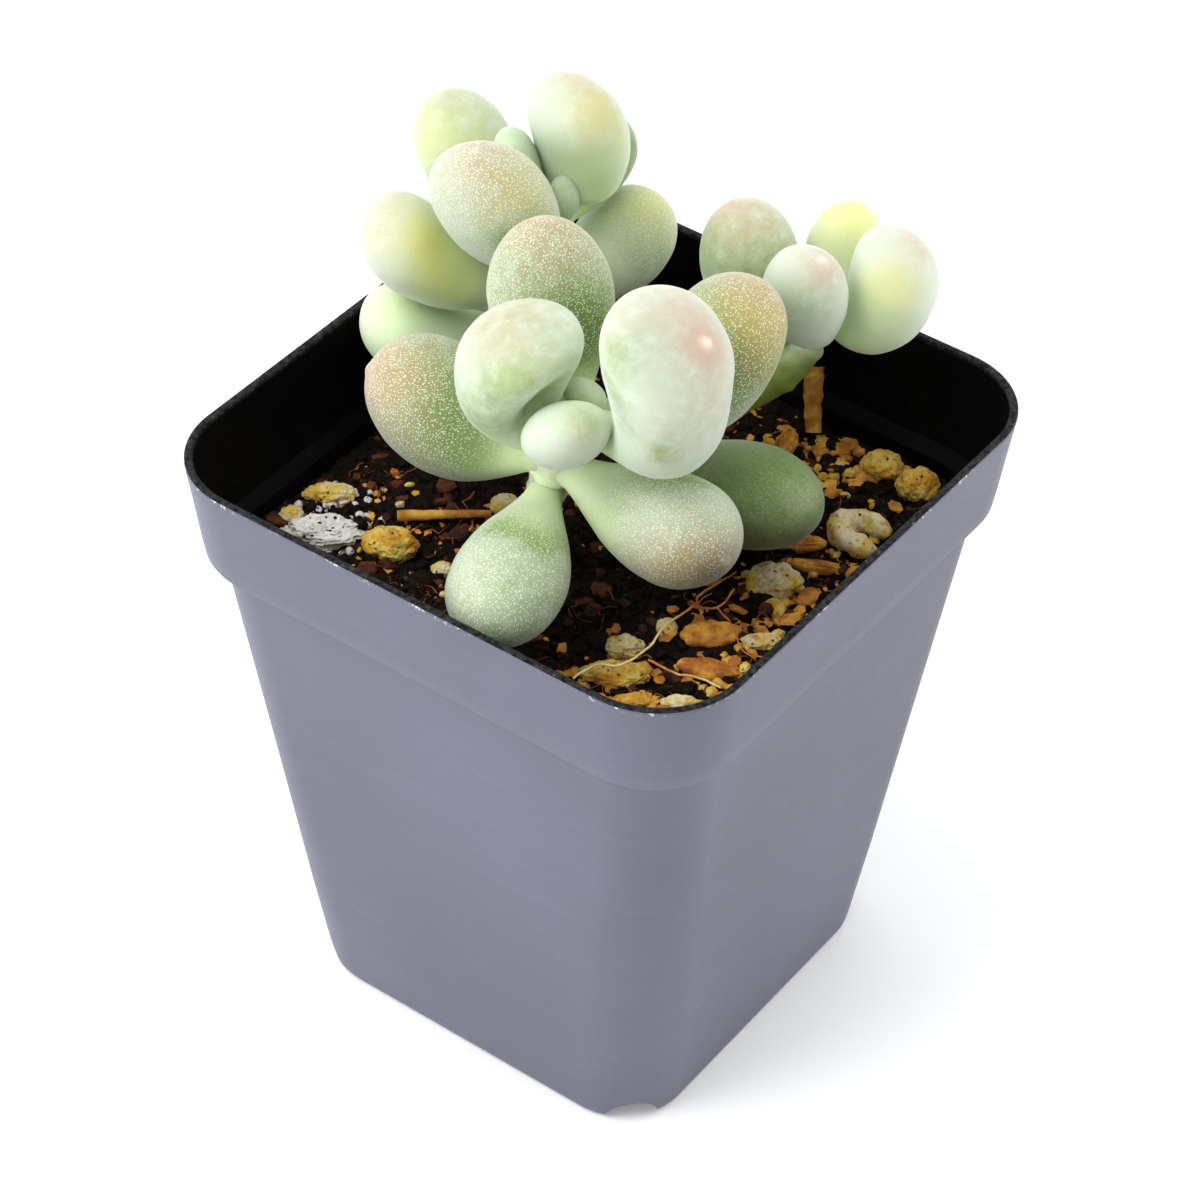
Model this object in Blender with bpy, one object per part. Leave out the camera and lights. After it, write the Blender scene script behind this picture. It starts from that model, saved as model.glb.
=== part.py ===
"""A clump of graptopetalum in its square nursery pot.

Sizes below are in millimetres and become metres as the meshes are made. The pot stands on z = 0 with
its middle on the Z axis and its sides along X and Y. The near corner of the photograph is at -X, -Y.
"""
import math

import bmesh
import bpy
import numpy as np
from mathutils import Matrix, Vector, noise

MM = 0.001
GAP = 0.3
WELD = 0.02
SHARP_FROM = 40

# The pot: a tapered square with round corners, and a band under the rim that stands proud.
POT_HEIGHT = 76.5
RIM_HALF = 35.0
RIM_CORNER = 10.5
BAND_BOTTOM_Z = 64.2
BAND_BOTTOM_HALF = 33.6
BAND_BOTTOM_CORNER = 9.9
BODY_TOP_Z = 63.6
BODY_TOP_HALF = 32.0
BODY_TOP_CORNER = 9.0
BASE_HALF = 24.3
BASE_CORNER = 8.2
BASE_EDGE = 0.6
WALL = 1.0
FLOOR = 1.5
RIM_ROUND = 0.25
LEDGE_SLOPE = 0.2
NOTCH_RADIUS = 3.0
NOTCH_FROM = 25.5
NOTCH_TO = 36.0
CORNER_STEPS = 6

# The soil fills the pot to about 15 mm below the rim.
SOIL_TOP = 61.5
SOIL_CELLS = 28
SOIL_BUMP = 0.5
SOIL_LEVEL_EDGE = 0.12
SEAT_FADE = 4.0

# A loose piece is cut flat below this part of its half height.
LUMP_FLAT = 0.6
LUMP_NOISE = 1.7

# Stems: the points of each middle line, from where it leaves its hole up to its tip.
STEM_FOOT_Z = 50.0
STEM_HOLE_ROOM = 0.4
SOIL_HOLE_OVER = 3.3
STEM_LINES = {
    "front": [(-8.5, 3.0, 62.0), (-9.5, 1.0, 72.0), (-9.5, -1.0, 80.0), (-8.5, -3.0, 86.0),
              (-8.0, -4.2, 89.5)],
    "back": [(14.0, 17.5, 62.0), (13.5, 18.0, 72.0), (13.5, 17.5, 82.0), (14.0, 17.5, 90.5)],
    "right": [(9.0, 3.5, 62.0), (14.5, -1.0, 68.2), (19.0, -5.5, 72.0), (22.5, -9.0, 76.0),
              (24.5, -11.0, 80.5), (25.3, -11.7, 82.0)],
}
# Radius of each stem as it leaves the soil, at its leafy part, and near its tip.
STEM_RADII = {
    "front": [(62.0, 2.1), (74.0, 1.8), (82.0, 1.3), (89.0, 0.9)],
    "back": [(62.0, 2.2), (74.0, 2.0), (84.0, 1.4), (90.0, 0.9)],
    "right": [(62.0, 2.0), (73.0, 1.9), (78.0, 1.3), (82.0, 0.9)],
}
STEM_TIP_Z = {"front": 88.0, "back": 89.5, "right": 81.6}
STEM_TIP_EDGE = 0.35
STEM_TIP_TAPER = 0.55
# A stem is upright below STEM_LEAN_Z, in its hole, and follows its line above that.
STEM_LEAN_Z = 62.8
STEM_UPRIGHT = 5.0
STEM_RING_STEP = 2.2
STEM_SIDES = 12
# The small young leaves that are still fused to a stem's tip.
YOUNG_LEAVES = {
    "front": [dict(height=86.6, turn=40, rise=50, length=5.0, width=3.4, thick=3.0)],
    "back": [dict(height=88.0, turn=128, rise=64, length=12.8, width=6.6, thick=5.0),
             dict(height=86.5, turn=-72, rise=77, length=7.5, width=5.0, thick=4.4)],
    "right": [],
}
YOUNG_WIDEST = 0.6
YOUNG_SIDES = 10
YOUNG_RINGS = 8

# Leaves: a leaf's base lies just outside the middle line of its stem.
LEAF_OFFSET = 1.8
LEAF_NECK = 0.3
LEAF_SIDES = 12
LEAF_RINGS = 11

ROOT_RADIUS = 0.32


def clear_scene():
    for item in list(bpy.data.objects):
        bpy.data.objects.remove(item, do_unlink=True)


def material(name, colour, roughness):
    mat = bpy.data.materials.new(name)
    mat.use_nodes = True
    shader = mat.node_tree.nodes["Principled BSDF"]
    shader.inputs["Base Color"].default_value = (*colour, 1.0)
    shader.inputs["Roughness"].default_value = roughness
    return mat


def finish(name, bm, mat):
    """Turn a mesh that was modelled in millimetres into a named object in metres."""
    bmesh.ops.scale(bm, vec=(MM, MM, MM), verts=bm.verts)
    bmesh.ops.recalc_face_normals(bm, faces=bm.faces)
    mesh = bpy.data.meshes.new(name)
    bm.to_mesh(mesh)
    bm.free()
    mesh.shade_smooth()
    mesh.set_sharp_from_angle(angle=math.radians(SHARP_FROM))
    mesh.materials.append(mat)
    item = bpy.data.objects.new(name, mesh)
    bpy.context.scene.collection.objects.link(item)
    return item


def as_cutter(item):
    item.hide_render = True
    item.display_type = "WIRE"
    return item


def cut(item, cutter):
    change = item.modifiers.new(f"cut_{cutter.name}", "BOOLEAN")
    change.operation = "DIFFERENCE"
    change.solver = "EXACT"
    change.object = cutter


def smooth_line(points, steps=30):
    """A smooth line through the points, as an array of steps per stretch."""
    pts = [np.array(p, float) for p in points]
    pts = [2 * pts[0] - pts[1]] + pts + [2 * pts[-1] - pts[-2]]
    line = []
    for a, b, c, d in zip(pts, pts[1:], pts[2:], pts[3:]):
        for t in np.linspace(0.0, 1.0, steps, endpoint=False):
            line.append(0.5 * (2 * b + (c - a) * t + (2 * a - 5 * b + 4 * c - d) * t ** 2
                               + (3 * b - a - 3 * c + d) * t ** 3))
    line.append(pts[-2])
    return np.array(line)


STEM_PATHS = {stem: smooth_line(points) for stem, points in STEM_LINES.items()}


def stem_point(stem, height):
    """The point of a stem's middle line at a height above the table."""
    path = STEM_PATHS[stem]
    return Vector((np.interp(height, path[:, 2], path[:, 0]),
                   np.interp(height, path[:, 2], path[:, 1]), height))


def stem_radius(stem, height):
    heights, radii = zip(*STEM_RADII[stem])
    return float(np.interp(height, heights, radii))


def spindle(sides, rings, place):
    """A ball whose points are moved by place(along, angle): along runs 0 to 1 from pole to pole."""
    bm = bmesh.new()
    bmesh.ops.create_uvsphere(bm, u_segments=sides, v_segments=rings, radius=1.0)
    for vert in bm.verts:
        along = math.acos(max(-1.0, min(1.0, -vert.co.z))) / math.pi
        angle = math.atan2(vert.co.y, vert.co.x)
        vert.co = place(along, angle)
    return bm


def leaf_shape(base, turn, rise, length, width, thick, widest, twist=0.0, curl=0.1,
               sides=LEAF_SIDES, rings=LEAF_RINGS):
    """A fat leaf: a narrow neck that swells to its widest place and closes in a round end.

    turn is its direction round the stem and rise its slope, in degrees. curl bows it upward.
    """
    turn, rise, twist = math.radians(turn), math.radians(rise), math.radians(twist)
    ahead = Vector((math.cos(turn) * math.cos(rise), math.sin(turn) * math.cos(rise), math.sin(rise)))
    level = Vector((-math.sin(turn), math.cos(turn), 0.0))
    upper = ahead.cross(level)
    side = level * math.cos(twist) + upper * math.sin(twist)
    top = upper * math.cos(twist) - level * math.sin(twist)

    def swell(u):
        if u > widest:
            return math.sqrt(max(0.0, 1.0 - ((u - widest) / (1.0 - widest)) ** 2))
        return LEAF_NECK + (1.0 - LEAF_NECK) * math.sin(math.pi / 2 * u / widest) ** 1.35

    def place(along, angle):
        u = (1.0 - math.cos(math.pi * along)) / 2.0
        fat = swell(u) if 0.001 < along < 0.999 else 0.0
        # The bow is deepest, at 1, a third of the way along.
        bow = 6.75 * u * (1.0 - u) ** 2
        middle = base + ahead * length * u - top * curl * length * bow
        return middle + side * (width / 2 * fat * math.cos(angle)) + top * (thick / 2 * fat * math.sin(angle))

    return spindle(sides, rings, place)


def leaf(name, stem, height, turn, rise, length, width, thick, widest=0.65, twist=0, curl=0.1,
         offset=LEAF_OFFSET):
    out = Vector((math.cos(math.radians(turn)), math.sin(math.radians(turn)), 0.0))
    base = stem_point(stem, height) + out * offset
    bm = leaf_shape(base, turn, rise, length, width, thick, widest, twist, curl)
    item = finish(name, bm, LEAF_SKIN)
    cut(item, STEM_SEATS[stem])
    return item


def stem_shape(stem, room=0.0):
    """A stem from the bottom of its hole to its tip; room makes it fatter all over."""
    tip_z = STEM_TIP_Z[stem] + room
    heights = [STEM_FOOT_Z - room, STEM_LEAN_Z - STEM_UPRIGHT]
    heights += list(np.arange(STEM_LEAN_Z, tip_z - STEM_TIP_EDGE - 0.05, STEM_RING_STEP))
    heights += [tip_z - STEM_TIP_EDGE, tip_z]
    rings = [stem_point(stem, max(z, STEM_LEAN_Z)) for z in heights]
    for ring, z in zip(rings, heights):
        ring.z = z
    bm = bmesh.new()
    loops = []
    for i, (middle, z) in enumerate(zip(rings, heights)):
        before, after = rings[max(i - 1, 0)], rings[min(i + 1, len(rings) - 1)]
        turned = (after - before).to_track_quat("Z", "Y").to_matrix().to_4x4()
        radius = stem_radius(stem, z) + room
        if i == len(rings) - 1:
            radius *= STEM_TIP_TAPER
        made = bmesh.ops.create_circle(bm, segments=STEM_SIDES, radius=radius,
                                       matrix=Matrix.Translation(middle) @ turned)
        loops.append(made["verts"])
    for low, high in zip(loops, loops[1:]):
        edges = [e for e in bm.edges if all(v in low for v in e.verts) or all(v in high for v in e.verts)]
        bmesh.ops.bridge_loops(bm, edges=edges)
    bmesh.ops.contextual_create(bm, geom=loops[0])
    bmesh.ops.contextual_create(bm, geom=loops[-1])
    return bm


def make_stem(name, stem, room=0.0):
    """A stem joined with its young leaves, in one body; room makes it all fatter."""
    pieces = [finish(f"{name}_core", stem_shape(stem, room), STEM_SKIN)]
    for i, young in enumerate(YOUNG_LEAVES[stem]):
        bm = leaf_shape(stem_point(stem, young["height"] - room), young["turn"], young["rise"],
                        young["length"] + 2 * room, young["width"] + 2 * room, young["thick"] + 2 * room,
                        YOUNG_WIDEST, sides=YOUNG_SIDES, rings=YOUNG_RINGS)
        pieces.append(finish(f"{name}_young_{i}", bm, STEM_SKIN))
    return union_of(name, pieces, STEM_SKIN)


def union_of(name, items, mat):
    """Join closed objects into one with a Boolean union on a collection, then remove them."""
    first, rest = items[0], items[1:]
    group = bpy.data.collections.new(f"{name}_parts")
    bpy.context.scene.collection.children.link(group)
    for item in rest:
        bpy.context.scene.collection.objects.unlink(item)
        group.objects.link(item)
    join = first.modifiers.new("join", "BOOLEAN")
    join.operation = "UNION"
    join.solver = "EXACT"
    join.operand_type = "COLLECTION"
    join.collection = group
    evaluated = first.evaluated_get(bpy.context.evaluated_depsgraph_get())
    mesh = bpy.data.meshes.new_from_object(evaluated)
    mesh.name = name
    for item in items:
        bpy.data.objects.remove(item, do_unlink=True)
    bpy.data.collections.remove(group)
    bm = bmesh.new()
    bm.from_mesh(mesh)
    bmesh.ops.triangulate(bm, faces=bm.faces)
    bmesh.ops.dissolve_degenerate(bm, dist=WELD * MM, edges=bm.edges)
    bm.to_mesh(mesh)
    bm.free()
    mesh.materials.clear()
    mesh.materials.append(mat)
    joined = bpy.data.objects.new(name, mesh)
    bpy.context.scene.collection.objects.link(joined)
    return joined


def square_ring(bm, half, corner, z):
    """A square outline with round corners, as a closed loop of points."""
    verts = []
    for quarter in range(4):
        for step in range(CORNER_STEPS + 1):
            angle = math.pi / 2 * (quarter + step / CORNER_STEPS)
            sign_x = 1 if quarter in (0, 3) else -1
            sign_y = 1 if quarter in (0, 1) else -1
            x = sign_x * (half - corner) + corner * math.cos(angle)
            y = sign_y * (half - corner) + corner * math.sin(angle)
            verts.append(bm.verts.new((x, y, z)))
    edges = [bm.edges.new((a, b)) for a, b in zip(verts, verts[1:] + verts[:1])]
    return verts, edges


def wall_half(z):
    """Half the width of the pot's body at a height, outside."""
    return BASE_HALF + (BODY_TOP_HALF - BASE_HALF) * z / BODY_TOP_Z


def wall_corner(z):
    return BASE_CORNER + (BODY_TOP_CORNER - BASE_CORNER) * z / BODY_TOP_Z


def make_pot():
    """The pot's outside from the foot to the rim, then its inside from the rim to the floor."""
    ledge_z = BODY_TOP_Z - LEDGE_SLOPE
    rings = [
        (BASE_HALF - BASE_EDGE, BASE_CORNER - BASE_EDGE, 0.0),
        (wall_half(BASE_EDGE), wall_corner(BASE_EDGE), BASE_EDGE),
        (BODY_TOP_HALF, BODY_TOP_CORNER, BODY_TOP_Z),
        (BAND_BOTTOM_HALF, BAND_BOTTOM_CORNER, BAND_BOTTOM_Z),
        (RIM_HALF, RIM_CORNER, POT_HEIGHT - RIM_ROUND),
        (RIM_HALF - RIM_ROUND, RIM_CORNER - RIM_ROUND, POT_HEIGHT),
        (RIM_HALF - WALL + RIM_ROUND, RIM_CORNER - WALL + RIM_ROUND, POT_HEIGHT),
        (RIM_HALF - WALL, RIM_CORNER - WALL, POT_HEIGHT - RIM_ROUND),
        (BAND_BOTTOM_HALF - WALL, BAND_BOTTOM_CORNER - WALL, BAND_BOTTOM_Z + LEDGE_SLOPE),
        (wall_half(ledge_z) - WALL, wall_corner(ledge_z) - WALL, ledge_z),
        (wall_half(FLOOR) - WALL, wall_corner(FLOOR) - WALL, FLOOR),
    ]
    bm = bmesh.new()
    loops = [square_ring(bm, *ring) for ring in rings]
    for (_, low), (_, high) in zip(loops, loops[1:]):
        bmesh.ops.bridge_loops(bm, edges=low + high)
    bmesh.ops.contextual_create(bm, geom=loops[0][0])
    bmesh.ops.contextual_create(bm, geom=loops[-1][0])
    pot = finish("pot", bm, POT_PLASTIC)

    # A small arch in each bottom corner lets the water out.
    for quarter in range(4):
        length = NOTCH_TO - NOTCH_FROM
        bm = bmesh.new()
        bmesh.ops.create_cone(bm, cap_ends=True, segments=20, radius1=NOTCH_RADIUS, radius2=NOTCH_RADIUS,
                              depth=length)
        lay_flat = Matrix.Rotation(math.radians(90), 4, "Y")
        outward = Matrix.Rotation(math.radians(45 + 90 * quarter), 4, "Z")
        place = outward @ Matrix.Translation((NOTCH_FROM + length / 2, 0, 0)) @ lay_flat
        bmesh.ops.transform(bm, matrix=place, verts=bm.verts)
        cut(pot, as_cutter(finish(f"notch_cutter_{quarter}", bm, POT_PLASTIC)))
    return pot


def seat_weight(x, y):
    """0 where something rests on the soil or stands in it, and 1 a few millimetres away from it."""
    weight = 1.0
    for seat_x, seat_y, reach in SEATS:
        away = (math.hypot(x - seat_x, y - seat_y) - reach) / SEAT_FADE
        away = max(0.0, min(1.0, away))
        weight = min(weight, away * away * (3 - 2 * away))
    return weight


def soil_height(x, y):
    """The soil's surface: low clods, made by crossing waves, between the seats, which are level."""
    clods = (math.sin(0.83 * x + 0.4) * math.cos(0.71 * y - 0.6) + 0.7 * math.sin(1.31 * x + 1.07 * y)
             + 0.5 * math.cos(1.7 * y - 0.9 * x + 1.0))
    edge = max(abs(x), abs(y)) / (wall_half(SOIL_TOP) - WALL)
    fade = max(0.0, min(1.0, (1.0 - edge) / SOIL_LEVEL_EDGE))
    return SOIL_TOP + SOIL_BUMP * clods * fade * seat_weight(x, y)


def in_pot(x, y, z):
    """Where a point of a square of half-width 1 lies in the space inside the pot, at a height."""
    reach = max(abs(x), abs(y))
    if reach < 1e-6:
        return 0.0, 0.0
    half = wall_half(z) - WALL - GAP
    corner = wall_corner(z) - WALL - GAP
    x, y = x / reach * half, y / reach * half
    straight = half - corner
    over_x, over_y = abs(x) - straight, abs(y) - straight
    if over_x > 0 and over_y > 0:
        pull = corner / math.hypot(over_x, over_y)
        x = math.copysign(straight + over_x * pull, x)
        y = math.copysign(straight + over_y * pull, y)
    return x * reach, y * reach


def make_soil():
    bottom_z = FLOOR + GAP
    bm = bmesh.new()
    bmesh.ops.create_grid(bm, x_segments=SOIL_CELLS, y_segments=SOIL_CELLS, size=1.0)
    rim = [edge for edge in bm.edges if edge.is_boundary]
    down = bmesh.ops.extrude_edge_only(bm, edges=rim)["geom"]
    low = [item for item in down if isinstance(item, bmesh.types.BMVert)]
    for vert in set(bm.verts) - set(low):
        x, y = in_pot(vert.co.x, vert.co.y, SOIL_TOP)
        vert.co = (x, y, soil_height(x, y))
    for vert in low:
        x, y = in_pot(vert.co.x, vert.co.y, bottom_z)
        vert.co = (x, y, bottom_z)
    bmesh.ops.holes_fill(bm, edges=[edge for edge in bm.edges if edge.is_boundary])
    soil = finish("soil", bm, SOIL)
    # Each stem stands in a plain round hole.
    bottom = STEM_FOOT_Z - 2 * STEM_HOLE_ROOM
    depth = SOIL_TOP + SOIL_HOLE_OVER - bottom
    for stem in STEM_LINES:
        bm = bmesh.new()
        foot = stem_point(stem, STEM_LEAN_Z)
        radius = STEM_RADII[stem][0][1] + STEM_HOLE_ROOM
        bmesh.ops.create_cone(bm, cap_ends=True, segments=16, radius1=radius, radius2=radius, depth=depth,
                              matrix=Matrix.Translation((foot.x, foot.y, bottom + depth / 2)))
        cut(soil, as_cutter(finish(f"hole_cutter_{stem}", bm, SOIL)))
    return soil


def lump(name, mat, at, size, turn=-54, boxy=1.0, rough=0.12, seed=0, tilt=0, hollow=None):
    """A loose granule, pebble or flake with a flat underside, which rests on the soil.

    size is its width, depth and height; boxy under 1 squares its sides off. hollow is the half-width
    and the depth of a pit in its top, in parts of its own size.
    """
    bm = bmesh.new()
    bmesh.ops.create_icosphere(bm, subdivisions=2, radius=1.0)
    apart = Vector((3.1, 1.7, 0.9)) * seed
    for vert in bm.verts:
        way = vert.co.normalized()
        rugged = 1.0 + rough * noise.noise(way * LUMP_NOISE + apart)
        shape = [math.copysign(abs(c) ** boxy, c) for c in way]
        if hollow and shape[2] > 0:
            inside = max(0.0, 1.0 - math.hypot(shape[0], shape[1]) / hollow[0])
            shape[2] -= hollow[1] * inside
        shape[2] = max(shape[2], -LUMP_FLAT)
        vert.co = Vector((shape[0] * size[0] / 2 * rugged, shape[1] * size[1] / 2 * rugged,
                          shape[2] * size[2] / (1 + LUMP_FLAT) * (rugged if shape[2] > 0 else 1.0)))
    turned = Matrix.Rotation(math.radians(turn), 4, "Z") @ Matrix.Rotation(math.radians(tilt), 4, "Y")
    bmesh.ops.transform(bm, matrix=turned, verts=bm.verts)
    lowest = min(vert.co.z for vert in bm.verts)
    bmesh.ops.translate(bm, vec=(at[0], at[1], SOIL_TOP + GAP - lowest), verts=bm.verts)
    return finish(name, bm, mat)


def thread(name, mat, points, radius, taper=1.0):
    """A thin stick or root: a round tube along a smooth line; its tip is taper times as thick."""
    line = smooth_line(points, steps=4)
    curve = bpy.data.curves.new(name, "CURVE")
    curve.dimensions = "3D"
    curve.bevel_depth = radius * MM
    curve.bevel_resolution = 1
    curve.use_fill_caps = True
    spline = curve.splines.new("POLY")
    spline.points.add(len(line) - 1)
    for i, (point, spot) in enumerate(zip(spline.points, line)):
        point.co = (*(spot * MM), 1.0)
        point.radius = 1.0 + (taper - 1.0) * i / (len(line) - 1)
    holder = bpy.data.objects.new(f"{name}_line", curve)
    bpy.context.scene.collection.objects.link(holder)
    evaluated = holder.evaluated_get(bpy.context.evaluated_depsgraph_get())
    mesh = bpy.data.meshes.new_from_object(evaluated)
    bpy.data.objects.remove(holder, do_unlink=True)
    bm = bmesh.new()
    bm.from_mesh(mesh)
    bmesh.ops.remove_doubles(bm, verts=bm.verts, dist=1e-6)
    bmesh.ops.scale(bm, vec=(1 / MM, 1 / MM, 1 / MM), verts=bm.verts)
    bpy.data.meshes.remove(mesh)
    return finish(name, bm, mat)


# Where something rests on the soil or stands in it: x, y, and how far it reaches.
SEATS = [(-8.6, 2.9, 5.0), (13.9, 17.6, 5.0), (11.0, 2.0, 7.0),
         (-19.8, 23.5, 6.5), (-17.0, 16.2, 5.0), (-13.7, 28.2, 5.0), (-19.0, 28.5, 4.0), (-3.5, 10.8, 4.0),
         (-9.2, 14.7, 6.5), (-15.9, 9.8, 3.5), (-18.2, -15.1, 6.0), (-13.0, -14.0, 5.0), (-20.0, -20.5, 5.0),
         (-17.0, -23.0, 5.0), (-10.0, -20.0, 7.0), (-11.7, -25.5, 5.0), (-4.2, -23.0, 5.0),
         (3.5, -20.3, 6.0), (10.2, -20.3, 6.5), (15.8, -23.8, 6.5), (27.4, -21.0, 7.0), (25.5, -8.5, 7.0)]

clear_scene()

POT_PLASTIC = material("pot_plastic", (0.045, 0.043, 0.05), 0.42)
SOIL = material("soil", (0.035, 0.022, 0.014), 0.95)
STEM_SKIN = material("stem_skin", (0.42, 0.47, 0.27), 0.6)
LEAF_SKIN = material("leaf_skin", (0.46, 0.56, 0.44), 0.62)
PERLITE = material("perlite", (0.75, 0.72, 0.66), 0.9)
PUMICE = material("pumice", (0.62, 0.5, 0.3), 0.9)
BARK = material("bark", (0.33, 0.17, 0.07), 0.85)
ROOT = material("dry_root", (0.45, 0.25, 0.12), 0.8)

make_pot()
make_soil()

STEM_SEATS = {}
for stem_name in STEM_LINES:
    STEM_SEATS[stem_name] = as_cutter(make_stem(f"seat_cutter_{stem_name}", stem_name, room=GAP))
    make_stem(f"stem_{stem_name}", stem_name)

# The front rosette, clockwise from its top leaf.
leaf("leaf_front_upper_right", "front", 85.0, turn=54, rise=48, length=20, width=13.5, thick=10.5,
     widest=0.58, twist=-10, curl=0.17)
leaf("leaf_front_left", "front", 78.5, turn=92, rise=6, length=22, width=14.5, thick=12.5, widest=0.6,
     twist=-5)
leaf("leaf_front_upper", "front", 81.5, turn=143, rise=79, length=17, width=13.5, thick=13.5, widest=0.76,
     curl=0.15)
leaf("leaf_front_middle", "front", 85.0, turn=260, rise=58, length=22.5, width=15, thick=14.5, widest=0.8,
     twist=10, curl=0.27)
leaf("leaf_front_right", "front", 81.5, turn=-33, rise=32, length=25.5, width=14.5, thick=12, widest=0.64,
     twist=5, curl=0.13)
leaf("leaf_front_young", "front", 89.5, turn=198, rise=15, length=18, width=7.5, thick=7, widest=0.66,
     twist=25, curl=0.14, offset=0)
leaf("leaf_front_low", "front", 78.0, turn=-85, rise=-9, length=20.5, width=13, thick=11, widest=0.66,
     twist=5, curl=0.03)
leaf("leaf_front_low_left", "front", 75.0, turn=201, rise=-3, length=22.5, width=12.5, thick=11, widest=0.6,
     twist=5, curl=0.03)

# The back rosette.
leaf("leaf_back_upper", "back", 87.5, turn=94, rise=34, length=18, width=11.5, thick=10, widest=0.62,
     curl=0.09)
leaf("leaf_back_middle", "back", 88.0, turn=-38, rise=89, length=17.5, width=11.5, thick=10, widest=0.76,
     curl=0.11)
leaf("leaf_back_left", "back", 84.0, turn=173, rise=59, length=21.5, width=14.5, thick=10.5, widest=0.66,
     twist=15, curl=0.05)
leaf("leaf_back_far_left", "back", 81.0, turn=138, rise=26, length=21, width=12, thick=10, widest=0.74,
     twist=-5, curl=0.11)
leaf("leaf_back_low_left", "back", 75.0, turn=141, rise=6, length=19.5, width=12, thick=10, widest=0.7,
     twist=-5, curl=0.17)
leaf("leaf_back_right", "back", 81.0, turn=-4, rise=-6, length=17, width=11.5, thick=10.5, widest=0.63,
     twist=-4, curl=0.14)
leaf("leaf_back_upper_right", "back", 85.0, turn=8, rise=29, length=14.5, width=10.5, thick=8,
     curl=0.08)

# The right rosette, on the stem that leans.
leaf("leaf_right_foot", "right", 67.0, turn=-114, rise=15.5, length=25, width=14, thick=11.5, widest=0.56,
     twist=-9, curl=0.06)
leaf("leaf_right_upper", "right", 78.0, turn=99, rise=61, length=17.5, width=12, thick=10.5, widest=0.6,
     curl=0.05)
leaf("leaf_right_small", "right", 80.0, turn=10, rise=57, length=13.5, width=8.5, thick=7, widest=0.6,
     twist=15)
leaf("leaf_right_middle", "right", 81.0, turn=194, rise=64, length=16, width=9.5, thick=8, widest=0.66,
     twist=-5)
leaf("leaf_right_low", "right", 78.0, turn=-69, rise=61, length=18, width=11.5, thick=10.5, widest=0.74,
     curl=0.14)

# Leaves on the side that the photograph doesn't show.
leaf("leaf_back_hidden_low", "back", 72.5, turn=82, rise=0, length=13, width=10.5, thick=9)
leaf("leaf_back_hidden_upper", "back", 80.5, turn=66, rise=10, length=15, width=9, thick=8)
leaf("leaf_right_hidden", "right", 74.5, turn=40, rise=8, length=12, width=9, thick=7.5)

# Loose mineral pieces on the soil.
lump("perlite_lump", PERLITE, (-19.8, 23.5), (9.3, 4.6, 2.8), rough=0.3, seed=1)
lump("granule_left_ochre", PUMICE, (-17.0, 16.2), (6.0, 4.6, 3.4), seed=2)
lump("granule_left_pale", PUMICE, (-13.7, 27.4), (6.0, 2.6, 1.8), seed=3)
lump("granule_left_dim", PUMICE, (-19.2, 28.3), (2.8, 2.4, 1.8), seed=4)
lump("pebble_pale", PERLITE, (-3.5, 10.8), (3.3, 2.8, 2.1), seed=5, rough=0.05)
lump("granule_speck", PERLITE, (-15.9, 9.8), (2.6, 2.1, 1.4), seed=6)
lump("granule_near_long", PUMICE, (-18.2, -15.1), (7.2, 3.6, 2.2), seed=7)
lump("granule_near_pale", PUMICE, (-14.1, -13.3), (4.0, 2.8, 2.0), seed=8)
lump("granule_near_yellow", PUMICE, (-20.4, -18.9), (4.3, 2.2, 1.5), seed=9)
lump("granule_near_stained", PUMICE, (-17.6, -23.1), (4.6, 2.2, 1.5), seed=10)
lump("granule_near_small", PUMICE, (-9.1, -15.2), (2.4, 2.6, 1.9), seed=11)
lump("granule_front_flat", PUMICE, (-4.2, -24.3), (4.8, 2.1, 1.3), seed=12)
lump("granule_front_pitted", PUMICE, (3.5, -20.3), (6.2, 4.6, 3.6), seed=13)
lump("granule_right_upper", PUMICE, (27.3, -18.6), (4.2, 3.8, 2.9), seed=14)
lump("granule_right_lower", PUMICE, (27.0, -23.6), (4.3, 3.8, 3.0), seed=15)
lump("granule_hollow", PUMICE, (15.8, -23.8), (4.8, 7.6, 3.4), seed=16, rough=0.08, hollow=(0.9, 1.0))

# Plant scraps on the soil.
lump("bark_flake_brown", BARK, (-7.1, -19.4), (6.6, 3.8, 1.6), turn=-40, boxy=0.6, seed=17, tilt=8)
lump("bark_flake_ochre", BARK, (-11.7, -22.3), (6.6, 2.8, 1.3), turn=-60, boxy=0.6, seed=18)
lump("bark_flake_small", BARK, (-12.2, -26.9), (2.9, 1.8, 0.9), boxy=0.6, seed=19)
lump("bark_chip_front", BARK, (11.0, -18.5), (6.2, 2.6, 1.2), turn=-50, boxy=0.6, seed=20)
lump("bark_chip_front_low", BARK, (9.0, -22.2), (6.0, 1.9, 1.1), turn=-58, boxy=0.6, seed=21)
lump("bark_chip_right", BARK, (24.3, -7.8), (5.0, 2.6, 1.4), turn=20, boxy=0.6, seed=22)

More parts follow.
